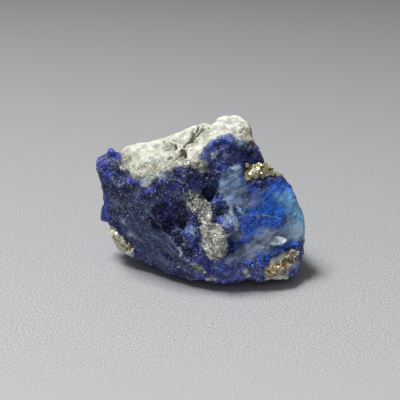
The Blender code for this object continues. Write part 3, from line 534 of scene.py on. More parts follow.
        ((4.3, -1.9), (1.98, 0.42), 5, 0.9, 0.4), ((14.1, 1.5), (0.99, 0.42), 20, 0.9, 0.5),
    ]),
    Blob("violet of the foot", "violet", (4, -0.3), (1.27, 0.56), 10, 0.9, 0.5),
    Blob("calcite corner at the foot", "white", (6.3, -1.1), (0.49, 0.42), -30, 0.7, 0.8),
    Area("smooth skin of the upper knob", "silk", 0.42, 0.2, [
        (-14.6, 14.8), (-13.1, 16.5), (-11.7, 15.9), (-11.7, 14.2), (-13, 12.2), (-14.2, 12.8),
    ]),
    Area("smooth skin of the foot", "silk", 0.42, 0.45, [
        (-0.1, 0.2), (2.6, 0.5), (5.4, 1.1), (8.5, 1.6), (8.6, -0.9), (8, -2.4), (5.5, -2.1),
        (2, -2.1),
    ]),
    Area("smooth skin of the upper hollow", "silk", 0.42, 0.75, [
        (0.8, 16.4), (1.8, 17.2), (4, 17.6), (6, 16.5), (8.6, 15.7), (8.9, 14.2), (6.1, 14),
        (2.9, 13.8), (1.2, 14.6),
    ]),
    Blob("deep blue left of the chip", "royal", (7, 4.5), (0.99, 0.71), -20, 0.9, 0.5),
    Blob("light of the vein", "sky", (4.3, 5.9), (0.85, 0.85), 0, 0.9, 0.35),
    Blob("frosty streak left of the chip", "haze", (9.1, 4), (1.27, 0.42), 20, 0.9, 0.25),
    Blobs("frosty grains of the foot", "haze", [
        ((2, -0.6), (0.56, 0.42), 0, 0.7, 0.45), ((6.8, 0.4), (0.71, 0.42), -20, 0.7, 0.5),
        ((3.8, 0.7), (0.71, 0.42), 20, 0.7, 0.55),
    ]),
    Blob("dusk at the top of the haze", "dark", (2.7, 13.3), (0.85, 0.71), 0, 0.9, 1),
    Blob("light top of the knob", "haze", (-13.3, 15.1), (0.71, 0.42), 0, 0.9, 0.2),
    # Partly painted glow of the thin right edge, where light shines through it
    Blob("milky spot of the right edge", "sky", (13.8, 6), (1.13, 0.85), 60, 0.9, 0.85),
    Blob("milky foot of the cap", "white", (-8.3, 11.8), (0.99, 0.56), -10, 0.9, 0.65),
    Area("smooth skin of the small knob", "silk", 0.28, 0.6, [
        (-14.8, 9.2), (-13.2, 10), (-12.8, 8.2), (-13.2, 6.3), (-13.7, 5.3), (-15, 6.1),
    ]),
    Blob("deep blue right of the chip", "royal", (13.2, 2.8), (1.13, 0.56), -10, 0.9, 0.6),
    Blob("deep blue by the cap", "violet", (-11.8, 14.9), (0.71, 0.85), 0, 0.7, 0.8),
    Blob("shade under the left pyrite", "dark", (-9.9, 1.2), (0.99, 0.71), -40, 0.9, 0.8),
    Blob("frosty foot of the cap", "haze", (-8.3, 11.7), (1.13, 0.56), 0, 0.9, 0.75),
    Blob("blue at the right end of the cap", "violet", (0.4, 14.8), (0.99, 0.56), 0, 0.9, 0.55),
    Blobs("pale blues of the vein and the right edge", "sky", [
        ((5.9, 7.2), (0.56, 0.71), 0, 0.9, 0.25), ((13.7, 6.2), (1.27, 0.99), 60, 0.9, 0.6),
    ]),
    Blob("frost in the pocket", "haze", (4.9, 3.8), (1.13, 0.85), 0, 0.9, 0.95),
    Blob("frosty streak above the foot", "haze", (9.4, 1.5), (1.13, 0.42), -10, 0.9, 0.4),
    Blob("pale blue patch left of the lump", "sky", (-0.7, 4.5), (0.71, 0.99), 10, 0.9, 0.2),
    Blob("calcite grain beside it", "white", (6.7, -1.8), (0.42, 0.28), 0, 0.8, 0.8),
    Blob("calcite under the low pyrite", "white", (10.6, -2.1), (2.12, 0.71), 5, 0.8, 0.9),
    Blob("dull calcite at the foot", "grey", (1.4, -2.2), (1.13, 0.56), 10, 0.9, 0.7),
    Blob("brown grains under the column", "stain", (0.3, -1.4), (1.41, 0.71), -35, 0.8, 0.5),
]

# Where the minerals lie on the other sides, in mm
OTHER_SIDES = [
    Spot("calcite over the crest", "white", (-3.0, 3.0, 19.5), (12.0, 6.5, 4.6), 0.5, 1.0),
    Spot("calcite behind the crest", "white", (1.0, 7.0, 17.0), (7.0, 5.0, 4.2), 0.5, 1.0),
    Spot("dull calcite behind", "grey", (-5.0, 6.4, 14.4), (4.0, 4.0, 2.2), 0.8, 0.8),
    Spot("calcite low in the back", "white", (6.2, 8.4, 5.0), (3.4, 3.6, 2.4), 0.6, 0.9),
    Spot("dull foot of that calcite", "grey", (4.0, 8.4, 3.4), (3.0, 3.6, 1.8), 0.8, 0.8),
    Spot("royal belt of the back", "royal", (0.0, 8.0, 9.4), (8.0, 4.0, 2.0), 0.9, 0.6),
    Spot("violet of the back", "violet", (-7.0, 7.0, 8.0), (5.0, 5.0, 4.0), 0.9, 0.7),
    Spot("blue lump of the back", "royal", (9.0, 6.6, 9.4), (3.0, 3.4, 3.2), 0.7, 0.9),
    Spot("sky edge of that lump", "sky", (10.6, 5.8, 11.4), (2.4, 2.4, 1.8), 0.9, 0.7),
    Spot("right side", "royal", (13.0, 1.0, 7.0), (3.4, 4.0, 5.0), 0.8, 0.7),
    Spot("sky of the right side", "sky", (14.4, 0.0, 8.6), (2.4, 2.8, 3.6), 0.9, 0.8),
    Spot("veil of the right side", "haze", (13.0, 3.0, 4.0), (3.0, 3.0, 2.4), 0.9, 0.6),
    Spot("glass of the right side", "glass", (13.0, 1.0, 7.0), (4.0, 5.0, 6.0), 0.8, 0.8),
    Spot("veil of the left side", "haze", (-13.0, 4.0, 9.0), (3.0, 4.0, 3.0), 0.9, 0.5),
    Spot("violet of the left side", "violet", (-12.6, 3.0, 13.0), (3.0, 4.0, 3.0), 0.9, 0.8),
    Spot("blue of the left knob", "royal", (-13.4, 1.4, 6.5), (2.0, 2.4, 3.2), 0.6, 0.9),
    Spot("rust of the back", "stain", (-4.6, 7.6, 11.8), (3.4, 3.4, 1.2), 0.8, 0.6),
]

# Bands of pyrite on the best face, in mm across and up it: from, to, half width, crystals and
# their largest edge
FACE_BANDS = [
    ("upper", (6.25, 12.80), (9.6, 13.10), 0.90, 64, 0.82),
    ("tail", (9.5, 12.9), (11.6, 12.5), 0.30, 26, 0.45),
    ("lower", (9.3, -1.6), (13.5, 0.9), 0.75, 190, 0.33),
    ("left", (-12.9, 4.3), (-10.0, 1.3), 0.60, 90, 0.42),
]
# Bands of pyrite on the other sides, in mm, with the way they are seen
OTHER_BANDS = [
    ("back", (-7.6, 14.1, 11.0), (-2.3, 14.1, 13.0), 0.80, 40, 0.80, (0.0, -1.0, 0.0)),
    ("right", (13.9, 6.1, 4.0), (10.3, 9.1, 9.6), 0.60, 24, 0.70, (-0.94, -0.34, 0.0)),
]
RUSTY_BANDS = ("lower", "back")
# The smallest crystal as a share of the largest, how deep crystals sit, and their bevel
SMALLEST_CRYSTAL = 0.55
CRYSTAL_SINK = (0.08, 0.26)
CRYSTAL_BEVEL = 0.05

# The flake on the glassy face, in mm across and up it: its middle, its half length and half
# width, and its rings as the share of those and the height
CHIP_MIDDLE = (10.55, 3.15)
CHIP_RADII = (1.70, 0.68)
CHIP_RINGS = ((0.55, 0.04), (0.80, 0.10), (0.92, 0.14), (1.0, 0.02), (0.9, -0.9))
CHIP_CORNERS = 28
CHIP_POINTEDNESS = 1.4
# How it turns in its own plane, leans and turns on the face, and how far it stands off in mm
CHIP_TURN = math.radians(-8.0)
CHIP_LEAN = math.radians(36.0)
CHIP_YAW = math.radians(22.0)
CHIP_LIFT = 0.45

# How stone and grains refract and shine
STONE_IOR = 1.53
ROCK_SHINE = 0.24
GRAIN_SHINE = 0.40
FLOOR_SHINE = 0.2

# Directions of the patterns in glass and in silky skin, and how long they are drawn out
STREAK_TURN = (0.0, math.radians(-26.0), 0.0)
STREAK_STRETCH = (3.6, 1.2, 0.7)
COMB_TURN = (0.0, math.radians(36.0), 0.0)
COMB_STRETCH = (3.0, 1.2, 0.6)

# Patterns of the rock: how many waves per mm, detail, roughness and distortion
BROAD = (0.45, 3.0, 0.6)
PATCHES = (1.5, 3.0, 0.65, 0.8)
FINE = (5.5, 2.0, 0.6)
STREAKS = (1.0, 5.0, 0.62, 0.6)
COMBED = (1.0, 5.0, 0.65, 0.3)
THREADS = (3.2, 3.0, 0.6, 0.4)
LARGE_GRAINS_PER_MM = 2.4
SMALL_GRAINS_PER_MM = 5.4

# What the two ends of a pattern become. The first two numbers are the pattern's values, and the
# next two are the brightness, share or roughness there, which is 0 and 1 where none is given
GROUND_PATCHES = (0.38, 0.62)
CREAM_PATCHES = (0.40, 0.60)
ROUGH_BORDER = (0.15, 0.85, 0.12, 0.88)
SOFT_BORDER = (0.28, 0.72, 0.15, 0.85)
ROUGH_GRAINS = (0.15, 0.85, 0.30, 1.90)
ROUGH_PATCHES = (0.32, 0.68, 0.55, 1.55)
GLASS_STREAKS = (0.32, 0.68, 0.36, 1.90)
GLASS_GRAINS = (0.2, 0.8, 0.62, 1.42)
SILK_STREAKS = (0.32, 0.68, 0.84, 1.18)
SILK_GRAINS = (0.2, 0.8, 0.6, 1.4)
SPECKS = (0.84, 0.94)
SPECKS_IN_GLASS = (0.2, 0.8, 0.75, 0.10)
WISPS_IN_ROCK = (0.30, 0.68, 0.35, 1.40)
WISPS_IN_GLASS = (0.34, 0.66, 0.62, 1.60)
VEIL_GRAINS = (0.1, 0.9, 0.76, 1.24)
MILKY_THREADS = (0.54, 0.70, 0.0, 0.75)
GREY_GRAINS = (0.15, 0.85, 0.50, 1.60)
GREY_PATCHES = (0.30, 0.68, 0.76, 1.26)
WHITE_GRAINS = (0.15, 0.85, 0.88, 1.06)
WHITE_PATCHES = (0.30, 0.60, 0.82, 1.04)
DULLED = (0.25, 0.70, 1.5, 0.3)
# Painted glints: which small cells get a grey-white highlight, how far it reaches, and how much in
# glass
GLINTS = (0.022, 0.010)
GLINT_REACH = (0.34, 0.24)
GLINTS_IN_GLASS = (0.2, 0.8, 0.9, 0.5)
# Painted shade and light: hollows darkened to half, raised edges made a little lighter
HOLLOW_SHADE = (0.30, 0.75, 1.18, 0.50)
# Painted glow: glass is made a tenth brighter, as if light shone through it, instead of hollow shade
GLASS_PAINTED_GLOW = 1.10
ROUGHNESS = (0.0, 1.0, 0.32, 0.62)
GLASS_ROUGHNESS = 0.30
CALCITE_ROUGHNESS = 0.62

# How soft the borders of a mineral's grains are: 0 is a hard edge, 1 is an even blend
HARD_GRAINS = 0.40
SOFT_GRAINS = 0.75
GREY_BORDER = 0.60
WHITE_BORDER = 0.55
STAIN_BORDER = 0.40

# Fine relief of the rock in its material
BUMP_STRENGTH = 0.6
BUMP_DISTANCE = 0.05 * MM

# Pyrite: tarnish and shine per mm, and what their ends become
TARNISH = (1.8, 3.0, 0.6)
TARNISH_START = (0.55, 0.68)
RUST_EXTRA = (0.24, 0.15)
MOST_TARNISH = 0.85
CRYSTALS_PER_MM = 1.3
CRYSTAL_TONES = (0.2, 0.8, 0.50, 1.45)
CRYSTAL_ROUGHNESS = (0.3, 0.7, 0.32, 0.58)

# The floor, in m towards the back: where its painted shade darkens it, where its speckle fades
# behind the chunk and close to the camera, and the speckle itself
FLOOR_FADE = (-60.0 * MM, 150.0 * MM)
SPECKLE = (4.6, 2.0, 0.7)
SPECKLE_TONES = (0.25, 0.75, -0.38, 0.38)
SPECKLE_BEHIND = (0.0, 30.0 * MM, 1.0, 0.20)
SPECKLE_IN_FRONT = (-34.0 * MM, -18.0 * MM, 0.30, 1.0)
FLOOR_ROUGHNESS = 0.75


class ChunkSettings(bpy.types.PropertyGroup):
    grid: bpy.props.FloatProperty(
        name="Grid",
        description="Distance between neighbouring points of the chunk's surface",
        default=0.150 * MM, min=0.05 * MM, unit="LENGTH", precision=6,
    )
    facet_tilt: bpy.props.FloatProperty(
        name="Facet tilt",
        description="How steeply the broken facets of the rough blue rock stand to each other",
        default=0.34,
    )
    sugar_height: bpy.props.FloatProperty(
        name="Sugar height",
        description="How far the rounded grains of the calcite stand out",
        default=0.07 * MM, unit="LENGTH", precision=6,
    )
    pit_depth: bpy.props.FloatProperty(
        name="Pit depth",
        description="Depth of the dirty pits and cracks in the calcite",
        default=0.30 * MM, unit="LENGTH", precision=6,
    )
    rib_height: bpy.props.FloatProperty(
        name="Rib height",
        description="Height of the fine ribs on the glassy face",
        default=0.05 * MM, unit="LENGTH", precision=6,
    )


def colour(name, description, default):
    return bpy.props.FloatVectorProperty(
        name=name, description=description, default=default, size=3, min=0.0, max=1.0,
        subtype="COLOR",
    )


class MineralColours(bpy.types.PropertyGroup):
    navy: colour("Navy", "Dark blue ground of the rock", (0.022, 0.028, 0.135))
    slate: colour("Slate", "Duller patches of that ground", (0.040, 0.056, 0.160))
    violet: colour("Violet", "Violet-blue crystals", (0.064, 0.080, 0.400))
    royal: colour("Royal", "Strong blue crystals and glass", (0.012, 0.165, 0.900))
    speck: colour("Speck", "Pale specks all over the blue", (0.300, 0.330, 0.520))
    sky: colour("Sky", "Light blue glass", (0.260, 0.620, 1.000))
    haze: colour("Haze", "Milky veil over the blue", (0.440, 0.560, 0.720))
    grey: colour("Grey", "Dull calcite", (0.400, 0.410, 0.385))
    white: colour("White", "Clean calcite", (0.815, 0.830, 0.745))
    cream: colour("Cream", "Yellower patches of the clean calcite", (0.72, 0.735, 0.60))
    stain: colour("Stain", "Brown and olive dirt in the calcite", (0.080, 0.065, 0.036))
    # Partly painted shade: the dull mark also darkens the cap's rim and ends with this tint
    dirt: colour("Dirt", "Tint of whatever is dull", (0.46, 0.43, 0.40))
    dusk: colour("Dusk", "Tint of whatever lies in shade", (0.24, 0.28, 0.52))
    # Painted glints: tiny grey-white highlights laid into the rock's colour
    painted_glint: colour("Glint", "Tiny bright facets all over", (0.55, 0.55, 0.56))
    # Pale flakes, partly painted glints
    flake: colour("Flake", "Palest of the scattered flakes", (0.88, 0.88, 0.88))
    brass: colour("Brass", "Pyrite crystals", (1.0, 0.920, 0.610))
    tarnish: colour("Tarnish", "Brown tarnish of the pyrite", (0.44, 0.25, 0.12))
    chip: colour("Chip", "Glass of the raised chip", (0.56, 0.70, 0.82))
    chip_light: colour("Chip light", "Paler parts of the chip", (0.84, 0.91, 0.97))


class StageSettings(bpy.types.PropertyGroup):
    near_floor: colour("Near floor", "Floor in front of the chunk", (0.550, 0.550, 0.565))
    # Painted shade: the floor darkens towards this colour behind the chunk
    shaded_far_floor: colour("Far floor", "Floor behind the chunk", (0.215, 0.217, 0.218))
    lamp_power: bpy.props.FloatProperty(
        name="Lamp power", description="Power of the soft lamp overhead", default=2.6,
        unit="POWER",
    )
    room_light: bpy.props.FloatProperty(
        name="Room light", description="Brightness of the light from all around", default=0.18,
    )


def add_node(tree, kind, **settings):
    node = tree.nodes.new(kind)
    for name, value in settings.items():
        setattr(node, name, value)
    return node


def feed(tree, socket, source):
    """Gives a socket a plain value, or links another node's output to it."""
    if isinstance(source, bpy.types.NodeSocket):
        tree.links.new(source, socket)
    elif isinstance(source, (int, float)):
        socket.default_value = source
    else:
        values = tuple(source)
        missing = len(socket.default_value) - len(values)
        socket.default_value = values + (1.0,) * missing


def calculate(tree, operation, first, second=0.0, clamp=False):
    node = add_node(tree, "ShaderNodeMath", operation=operation, use_clamp=clamp)
    feed(tree, node.inputs[0], first)
    feed(tree, node.inputs[1], second)
    return node.outputs[0]


def multiply(tree, first, second, clamp=False):
    return calculate(tree, "MULTIPLY", first, second, clamp)


def attribute(tree, name):
    return add_node(tree, "ShaderNodeAttribute", attribute_name=name).outputs["Fac"]


def blend_colours(tree, share, under, over, how="MIX"):
    node = add_node(tree, "ShaderNodeMix", data_type="RGBA", blend_type=how)
    feed(tree, node.inputs["Factor"], share)
    feed(tree, node.inputs[6], under)
    feed(tree, node.inputs[7], over)
    return node.outputs[2]


def blend_values(tree, share, under, over):
    node = add_node(tree, "ShaderNodeMix", data_type="FLOAT")
    feed(tree, node.inputs["Factor"], share)
    feed(tree, node.inputs[2], under)
    feed(tree, node.inputs[3], over)
    return node.outputs[0]


def spread(tree, value, low, high, to_low=0.0, to_high=1.0):
    """Maps low..high to to_low..to_high with an even turn at both ends."""
    node = add_node(tree, "ShaderNodeMapRange", interpolation_type="SMOOTHSTEP")
    feed(tree, node.inputs["Value"], value)
    ends = {"From Min": low, "From Max": high, "To Min": to_low, "To Max": to_high}
    for name, number in ends.items():
        node.inputs[name].default_value = number
    return node.outputs["Result"]


def in_mm(tree, turn=(0.0, 0.0, 0.0), stretch=(1.0, 1.0, 1.0)):
    """Places on the object in mm, turned and stretched for patterns that run one way."""
    place = add_node(tree, "ShaderNodeTexCoord").outputs["Object"]
    turned = add_node(tree, "ShaderNodeMapping", vector_type="TEXTURE")
    feed(tree, turned.inputs["Vector"], place)
    turned.inputs["Rotation"].default_value = turn
    turned.inputs["Scale"].default_value = [s * MM for s in stretch]
    return turned.outputs["Vector"]


def noise_pattern(tree, place, per_mm, detail=3.0, roughness=0.55, distortion=0.0):
    node = add_node(tree, "ShaderNodeTexNoise")
    feed(tree, node.inputs["Vector"], place)
    node.inputs["Scale"].default_value = per_mm
    node.inputs["Detail"].default_value = detail
    node.inputs["Roughness"].default_value = roughness
    node.inputs["Distortion"].default_value = distortion
    return node.outputs["Fac"]


def cells(tree, place, per_mm):
    """Cells of a random pattern: two random values of each, and how far off its middle is."""
    node = add_node(tree, "ShaderNodeTexVoronoi", feature="F1")
    feed(tree, node.inputs["Vector"], place)
    node.inputs["Scale"].default_value = per_mm
    split = add_node(tree, "ShaderNodeSeparateColor")
    feed(tree, split.inputs["Color"], node.outputs["Color"])
    return split.outputs["Red"], split.outputs["Green"], node.outputs["Distance"]


def new_material(name):
    material = bpy.data.materials.new(name)
    material.use_nodes = True
    tree = material.node_tree
    return material, tree, tree.nodes["Principled BSDF"]


def crisp(tree, share, threshold, width):
    """Turns a soft share into grains: none at a share of 0, all at 1, and softer the wider."""
    start = multiply(tree, threshold, 1.0 - width)
    return calculate(tree, "DIVIDE", calculate(tree, "SUBTRACT", share, start), width, clamp=True)


def tinted(tree, shade, factor):
    """The colour made darker or lighter by a factor."""
    return blend_colours(tree, 1.0, shade, factor, "MULTIPLY")


RockPatterns = namedtuple("RockPatterns", [
    "broad", "patches", "fine", "streaks", "combed", "threads", "large", "small", "small_middle",
    "tone", "small_tone", "glass", "rough_border", "soft_border",
])


def rock_patterns(tree):
    """The patterns that the minerals of the rock share."""
    place = in_mm(tree)
    streaked = in_mm(tree, STREAK_TURN, STREAK_STRETCH)
    patches = noise_pattern(tree, place, *PATCHES)
    streaks = noise_pattern(tree, streaked, *STREAKS)
    large, large_tone, _ = cells(tree, place, LARGE_GRAINS_PER_MM)
    small, small_tone, small_middle = cells(tree, place, SMALL_GRAINS_PER_MM)
    tone = calculate(tree, "ADD", multiply(tree, large_tone, 0.5), multiply(tree, small_tone, 0.5))
    glass = attribute(tree, "glass")
    rough_border = spread(tree, blend_values(tree, 0.5, large, patches), *ROUGH_BORDER)
    soft_border = spread(tree, blend_values(tree, glass, patches, streaks), *SOFT_BORDER)
    return RockPatterns(
        broad=noise_pattern(tree, place, *BROAD),
        patches=patches,
        fine=noise_pattern(tree, place, *FINE),
        streaks=streaks,
        combed=noise_pattern(tree, in_mm(tree, COMB_TURN, COMB_STRETCH), *COMBED),
        threads=noise_pattern(tree, streaked, *THREADS),
        large=large,
        small=small,
        small_middle=small_middle,
        tone=tone,
        small_tone=small_tone,
        glass=glass,
        rough_border=rough_border,
        soft_border=soft_border,
    )


def blue_brightness(tree, rock):
    """How bright the blue is: speckled where it is rough, streaked in glass, even in silk."""
    sparkle = blend_values(tree, 0.5, rock.fine, rock.small_tone)
    rough = multiply(tree, spread(tree, rock.tone, *ROUGH_GRAINS),
                     spread(tree, rock.patches, *ROUGH_PATCHES))
    glassy = multiply(tree, spread(tree, rock.streaks, *GLASS_STREAKS),
                      spread(tree, sparkle, *GLASS_GRAINS))
    silky = multiply(tree, spread(tree, rock.combed, *SILK_STREAKS),
                     spread(tree, sparkle, *SILK_GRAINS))
    rough = blend_values(tree, attribute(tree, "silk"), rough, silky)
    return blend_values(tree, rock.glass, rough, glassy)


def blue_ground(tree, rock, colours):
    """The dark blue ground with its violet and royal crystals and its pale specks."""
    brightness = blue_brightness(tree, rock)
    ground = blend_colours(tree, spread(tree, rock.broad, *GROUND_PATCHES), colours.navy,
                           colours.slate)
    shade = tinted(tree, ground, brightness)
    for mineral in ("violet", "royal"):
        grains = tinted(tree, getattr(colours, mineral), brightness)
        share = attribute(tree, mineral)
        hard = crisp(tree, share, rock.rough_border, HARD_GRAINS)
        soft = crisp(tree, share, rock.soft_border, SOFT_GRAINS)
        shade = blend_colours(tree, blend_values(tree, rock.glass, hard, soft), shade, grains)
    speck = multiply(tree, spread(tree, rock.small, *SPECKS),
                     spread(tree, rock.glass, *SPECKS_IN_GLASS))
    return blend_colours(tree, speck, shade, colours.speck)


def with_veils(tree, rock, colours, shade):
    """Lays the light blue and milky veils over the blue, and milky threads into the glass."""
    wisps = blend_values(tree, rock.glass, spread(tree, rock.patches, *WISPS_IN_ROCK),
                         spread(tree, rock.streaks, *WISPS_IN_GLASS))
    for mineral in ("sky", "haze"):
        share = multiply(tree, attribute(tree, mineral), wisps, clamp=True)
        veil = tinted(tree, getattr(colours, mineral), spread(tree, rock.tone, *VEIL_GRAINS))
        shade = blend_colours(tree, share, shade, veil)
    threads = multiply(tree, spread(tree, rock.threads, *MILKY_THREADS), rock.glass)
    return blend_colours(tree, threads, shade, colours.haze)


def with_calcite(tree, rock, colours, shade):
    """Lays grey calcite in hard grains and white calcite in a softer skin."""
    sugar = multiply(tree, spread(tree, rock.tone, *GREY_GRAINS),
                     spread(tree, rock.patches, *GREY_PATCHES))
    share = crisp(tree, attribute(tree, "grey"), rock.rough_border, GREY_BORDER)
    shade = blend_colours(tree, share, shade, tinted(tree, colours.grey, sugar))
    chalk = multiply(tree, spread(tree, rock.tone, *WHITE_GRAINS),
                     spread(tree, rock.patches, *WHITE_PATCHES))
    share = crisp(tree, attribute(tree, "white"), rock.soft_border, WHITE_BORDER)
    cream = blend_colours(tree, spread(tree, rock.broad, *CREAM_PATCHES), colours.white,
                          colours.cream)
    return blend_colours(tree, share, shade, tinted(tree, cream, chalk))


def with_dirt_and_shade(tree, rock, colours, shade):
    """Stains and dulls the minerals; dulling is partly painted shade on the cap's rim and ends."""
    mottle = spread(tree, blend_values(tree, 0.5, rock.patches, rock.small_tone), *DULLED)
    # Dull stone in places, and painted shade on the cap's rim and ends
    dirt = multiply(tree, attribute(tree, "dull"), mottle, clamp=True)
    shade = blend_colours(tree, dirt, shade, colours.dirt, "MULTIPLY")
    stained = crisp(tree, attribute(tree, "stain"), rock.rough_border, STAIN_BORDER)
    return blend_colours(tree, stained, shade, colours.stain)


def with_painted_light(tree, rock, colours, shade):
    """Paints glints, shade in hollows and dusky places, and light on raised edges and in glass."""
    painted_glint = multiply(tree, spread(tree, rock.small, *GLINTS),
                     spread(tree, rock.small_middle, *GLINT_REACH))
    painted_glint = multiply(tree, painted_glint, spread(tree, rock.glass, *GLINTS_IN_GLASS))
    shade = blend_colours(tree, painted_glint, shade, colours.painted_glint)
    # Painted shade: the dark mark darkens hollows, recesses and places under overhangs with the dusk
    # tint
    shade = blend_colours(tree, attribute(tree, "dark"), shade, colours.dusk, "MULTIPLY")
    # Painted shade in hollows and painted light on raised edges, by how deep each point lies
    hollow_shade_and_edge_light = spread(tree, attribute(tree, "sunk"), *HOLLOW_SHADE)
    return tinted(tree, shade, blend_values(tree, rock.glass, hollow_shade_and_edge_light, GLASS_PAINTED_GLOW))


def rock_finish(tree, rock, shader):
    """Roughness and fine relief: grains on the rock, streaks in the glass."""
    rough = blend_values(tree, rock.glass, spread(tree, rock.large, *ROUGHNESS), GLASS_ROUGHNESS)
    feed(tree, shader.inputs["Roughness"],
         blend_values(tree, attribute(tree, "white"), rough, CALCITE_ROUGHNESS))
    shader.inputs["IOR"].default_value = STONE_IOR
    shader.inputs["Specular IOR Level"].default_value = ROCK_SHINE
    bump = add_node(tree, "ShaderNodeBump")
    bump.inputs["Strength"].default_value = BUMP_STRENGTH
    bump.inputs["Distance"].default_value = BUMP_DISTANCE
    grains = calculate(tree, "ADD", rock.fine, rock.small_tone)
    feed(tree, bump.inputs["Height"], blend_values(tree, rock.glass, grains, rock.streaks))
    feed(tree, shader.inputs["Normal"], bump.outputs["Normal"])


def rock_material(colours):
    """Blue rock with calcite: the minerals' shares come with the mesh, their grain from here."""
    material, tree, shader = new_material("rock")
    rock = rock_patterns(tree)
    shade = blue_ground(tree, rock, colours)
    for add_layer in (with_veils, with_calcite, with_dirt_and_shade, with_painted_light):
        shade = add_layer(tree, rock, colours, shade)
    feed(tree, shader.inputs["Base Color"], shade)
    rock_finish(tree, rock, shader)
    return material


def smooth_step(share):
    share = np.clip(share, 0.0, 1.0)
    return share * share * (3.0 - 2.0 * share)


def points_of(mesh):
    found = np.empty(len(mesh.vertices) * 3, np.float32)
    mesh.vertices.foreach_get("co", found)
    return found.reshape(-1, 3).astype(float)


def normals_of(mesh):
    found = np.empty(len(mesh.vertices) * 3, np.float32)
    mesh.vertex_normals.foreach_get("vector", found)
    return found.reshape(-1, 3).astype(float)


def move_points(mesh, points):
    mesh.vertices.foreach_set("co", points.astype(np.float32).ravel())
    mesh.update()


def evaluated_mesh(obj):
    graph = bpy.context.evaluated_depsgraph_get()
    return bpy.data.meshes.new_from_object(obj.evaluated_get(graph))


def link_object(name, data):
    obj = bpy.data.objects.new(name, data)
    bpy.context.scene.collection.objects.link(obj)
    return obj


def finished_object(name, bm, material):
    """An object of one material from a bmesh, which is freed."""
    mesh = bpy.data.meshes.new(name)
    bm.to_mesh(mesh)
    bm.free()
    mesh.materials.append(material)
    return link_object(name, mesh)


def even_skin(node, grid):
    """A copy of the solid's mesh on an even fine grid, its flat facets softened a little."""
    bm = bmesh.new()
    bm.from_mesh(node.data)
    bmesh.ops.remove_doubles(bm, verts=bm.verts, dist=0.001 * MM)
    mesh = bpy.data.meshes.new("chunk")
    bm.to_mesh(mesh)
    bm.free()
    holder = link_object("chunk_holder", mesh)
    remesh = holder.modifiers.new("Even grid", "REMESH")
    remesh.mode = "VOXEL"
    remesh.voxel_size = grid
    soften = holder.modifiers.new("Soften", "SMOOTH")
    soften.factor = 0.5
    soften.iterations = 7
    skin = evaluated_mesh(holder)
    bpy.data.objects.remove(holder)
    return skin


def evened(values, pairs, rounds):
    """Values of the points, each drawn halfway to its neighbours' mean again and again."""
    one, other = pairs[:, 0], pairs[:, 1]
    size = len(values)
    count = np.bincount(one, minlength=size) + np.bincount(other, minlength=size)
    for _ in range(rounds):
        mean = np.empty_like(values)
        for axis in range(values.shape[1]):
            column = values[:, axis]
            total = np.bincount(one, column[other], size) + np.bincount(other, column[one], size)
            mean[:, axis] = total / count
        values = 0.5 * (values + mean)
    return values


def edge_pairs(mesh):
    pairs = np.empty(len(mesh.edges) * 2, np.int32)
    mesh.edges.foreach_get("vertices", pairs)
    return pairs.reshape(-1, 2)


def to_segment(across, up, start, end):
    """Distance of each place from the straight line between two points."""
    ax, ay = start
    bx, by = end
    length = (bx - ax) ** 2 + (by - ay) ** 2
    share = np.clip(((across - ax) * (bx - ax) + (up - ay) * (by - ay)) / length, 0.0, 1.0)
    return np.hypot(across - ax - share * (bx - ax), up - ay - share * (by - ay))


def inside_outline(across, up, corners):
    """Which places lie inside the outline, and how far each is from it."""
    inside = np.zeros(len(across), bool)
    nearest = np.full(len(across), np.inf)
    for start, end in zip(corners, corners[1:] + corners[:1]):
        nearest = np.minimum(nearest, to_segment(across, up, start, end))
        crosses = (start[1] > up) != (end[1] > up)
        rise = end[1] - start[1] if end[1] != start[1] else 1e-9
        at = start[0] + (up - start[1]) * (end[0] - start[0]) / rise
        inside ^= crosses & (across < at)
    return np.where(inside, nearest, -nearest)


def face_share(zone, across, up):
    """How much of a zone of the best face there is at each place."""
    if isinstance(zone, Area):
        return smooth_step(0.5 + inside_outline(across, up, zone.corners) / (2.0 * zone.soft))
    if isinstance(zone, Line):
        nearest = np.full(len(across), np.inf)
        for start, end in zip(zone.points, zone.points[1:]):
            nearest = np.minimum(nearest, to_segment(across, up, start, end))
        return smooth_step((zone.half_width + zone.soft - nearest) / zone.soft)
    turn = math.radians(zone.turn)
    dx, dy = across - zone.middle[0], up - zone.middle[1]
    along = (dx * math.cos(turn) + dy * math.sin(turn)) / zone.radii[0]
    aside = (dy * math.cos(turn) - dx * math.sin(turn)) / zone.radii[1]
    return smooth_step((1.0 - np.hypot(along, aside)) / zone.soft + 0.15)


def single_zones(zones):
    """The zones one by one, each blob of a group by itself."""
    for zone in zones:
        if isinstance(zone, Blobs):
            yield from (Blob(zone.name, zone.mineral, *row) for row in zone.rows)
        else:
            yield zone


def mineral_shares(points, normals):
    """The share of each mineral and the strength of each mark at each point."""
    places = points / MM
    noise.seed_set(SEED)
    warped = places + sum(
        np.array([noise.noise_vector(Vector(p) * per_mm) for p in places]) * reach
        for per_mm, reach in BORDER_WAVES
    )
    across, up = warped[:, 0], warped @ UP_FACE
    facing = smooth_step(0.5 - FACING_SHARPNESS * (normals @ INTO_FACE))
    shares = {name: np.zeros(len(points)) for name in MINERALS + MARKS}
    ground = np.ones(len(points))

    def lay(mineral, amount):
        if mineral in MARKS:
            shares[mineral] = np.maximum(shares[mineral], amount)
            return
        for other in MINERALS:
            shares[other] *= 1.0 - amount
        ground[:] = ground * (1.0 - amount)
        shares[mineral] += amount

    for spot in OTHER_SIDES:
        offset = np.linalg.norm((warped - np.array(spot.middle)) / np.array(spot.radii), axis=1)
        lay(spot.mineral, smooth_step((1.0 - offset) / spot.soft) * spot.strength * (1.0 - facing))
    for zone in single_zones(FACE):
        lay(zone.mineral, face_share(zone, across, up) * zone.strength * facing)
    total = ground
    for mineral in MINERALS:
        total = total + shares[mineral]
        shares[mineral] = shares[mineral] / np.maximum(total, 1e-6)
    return shares


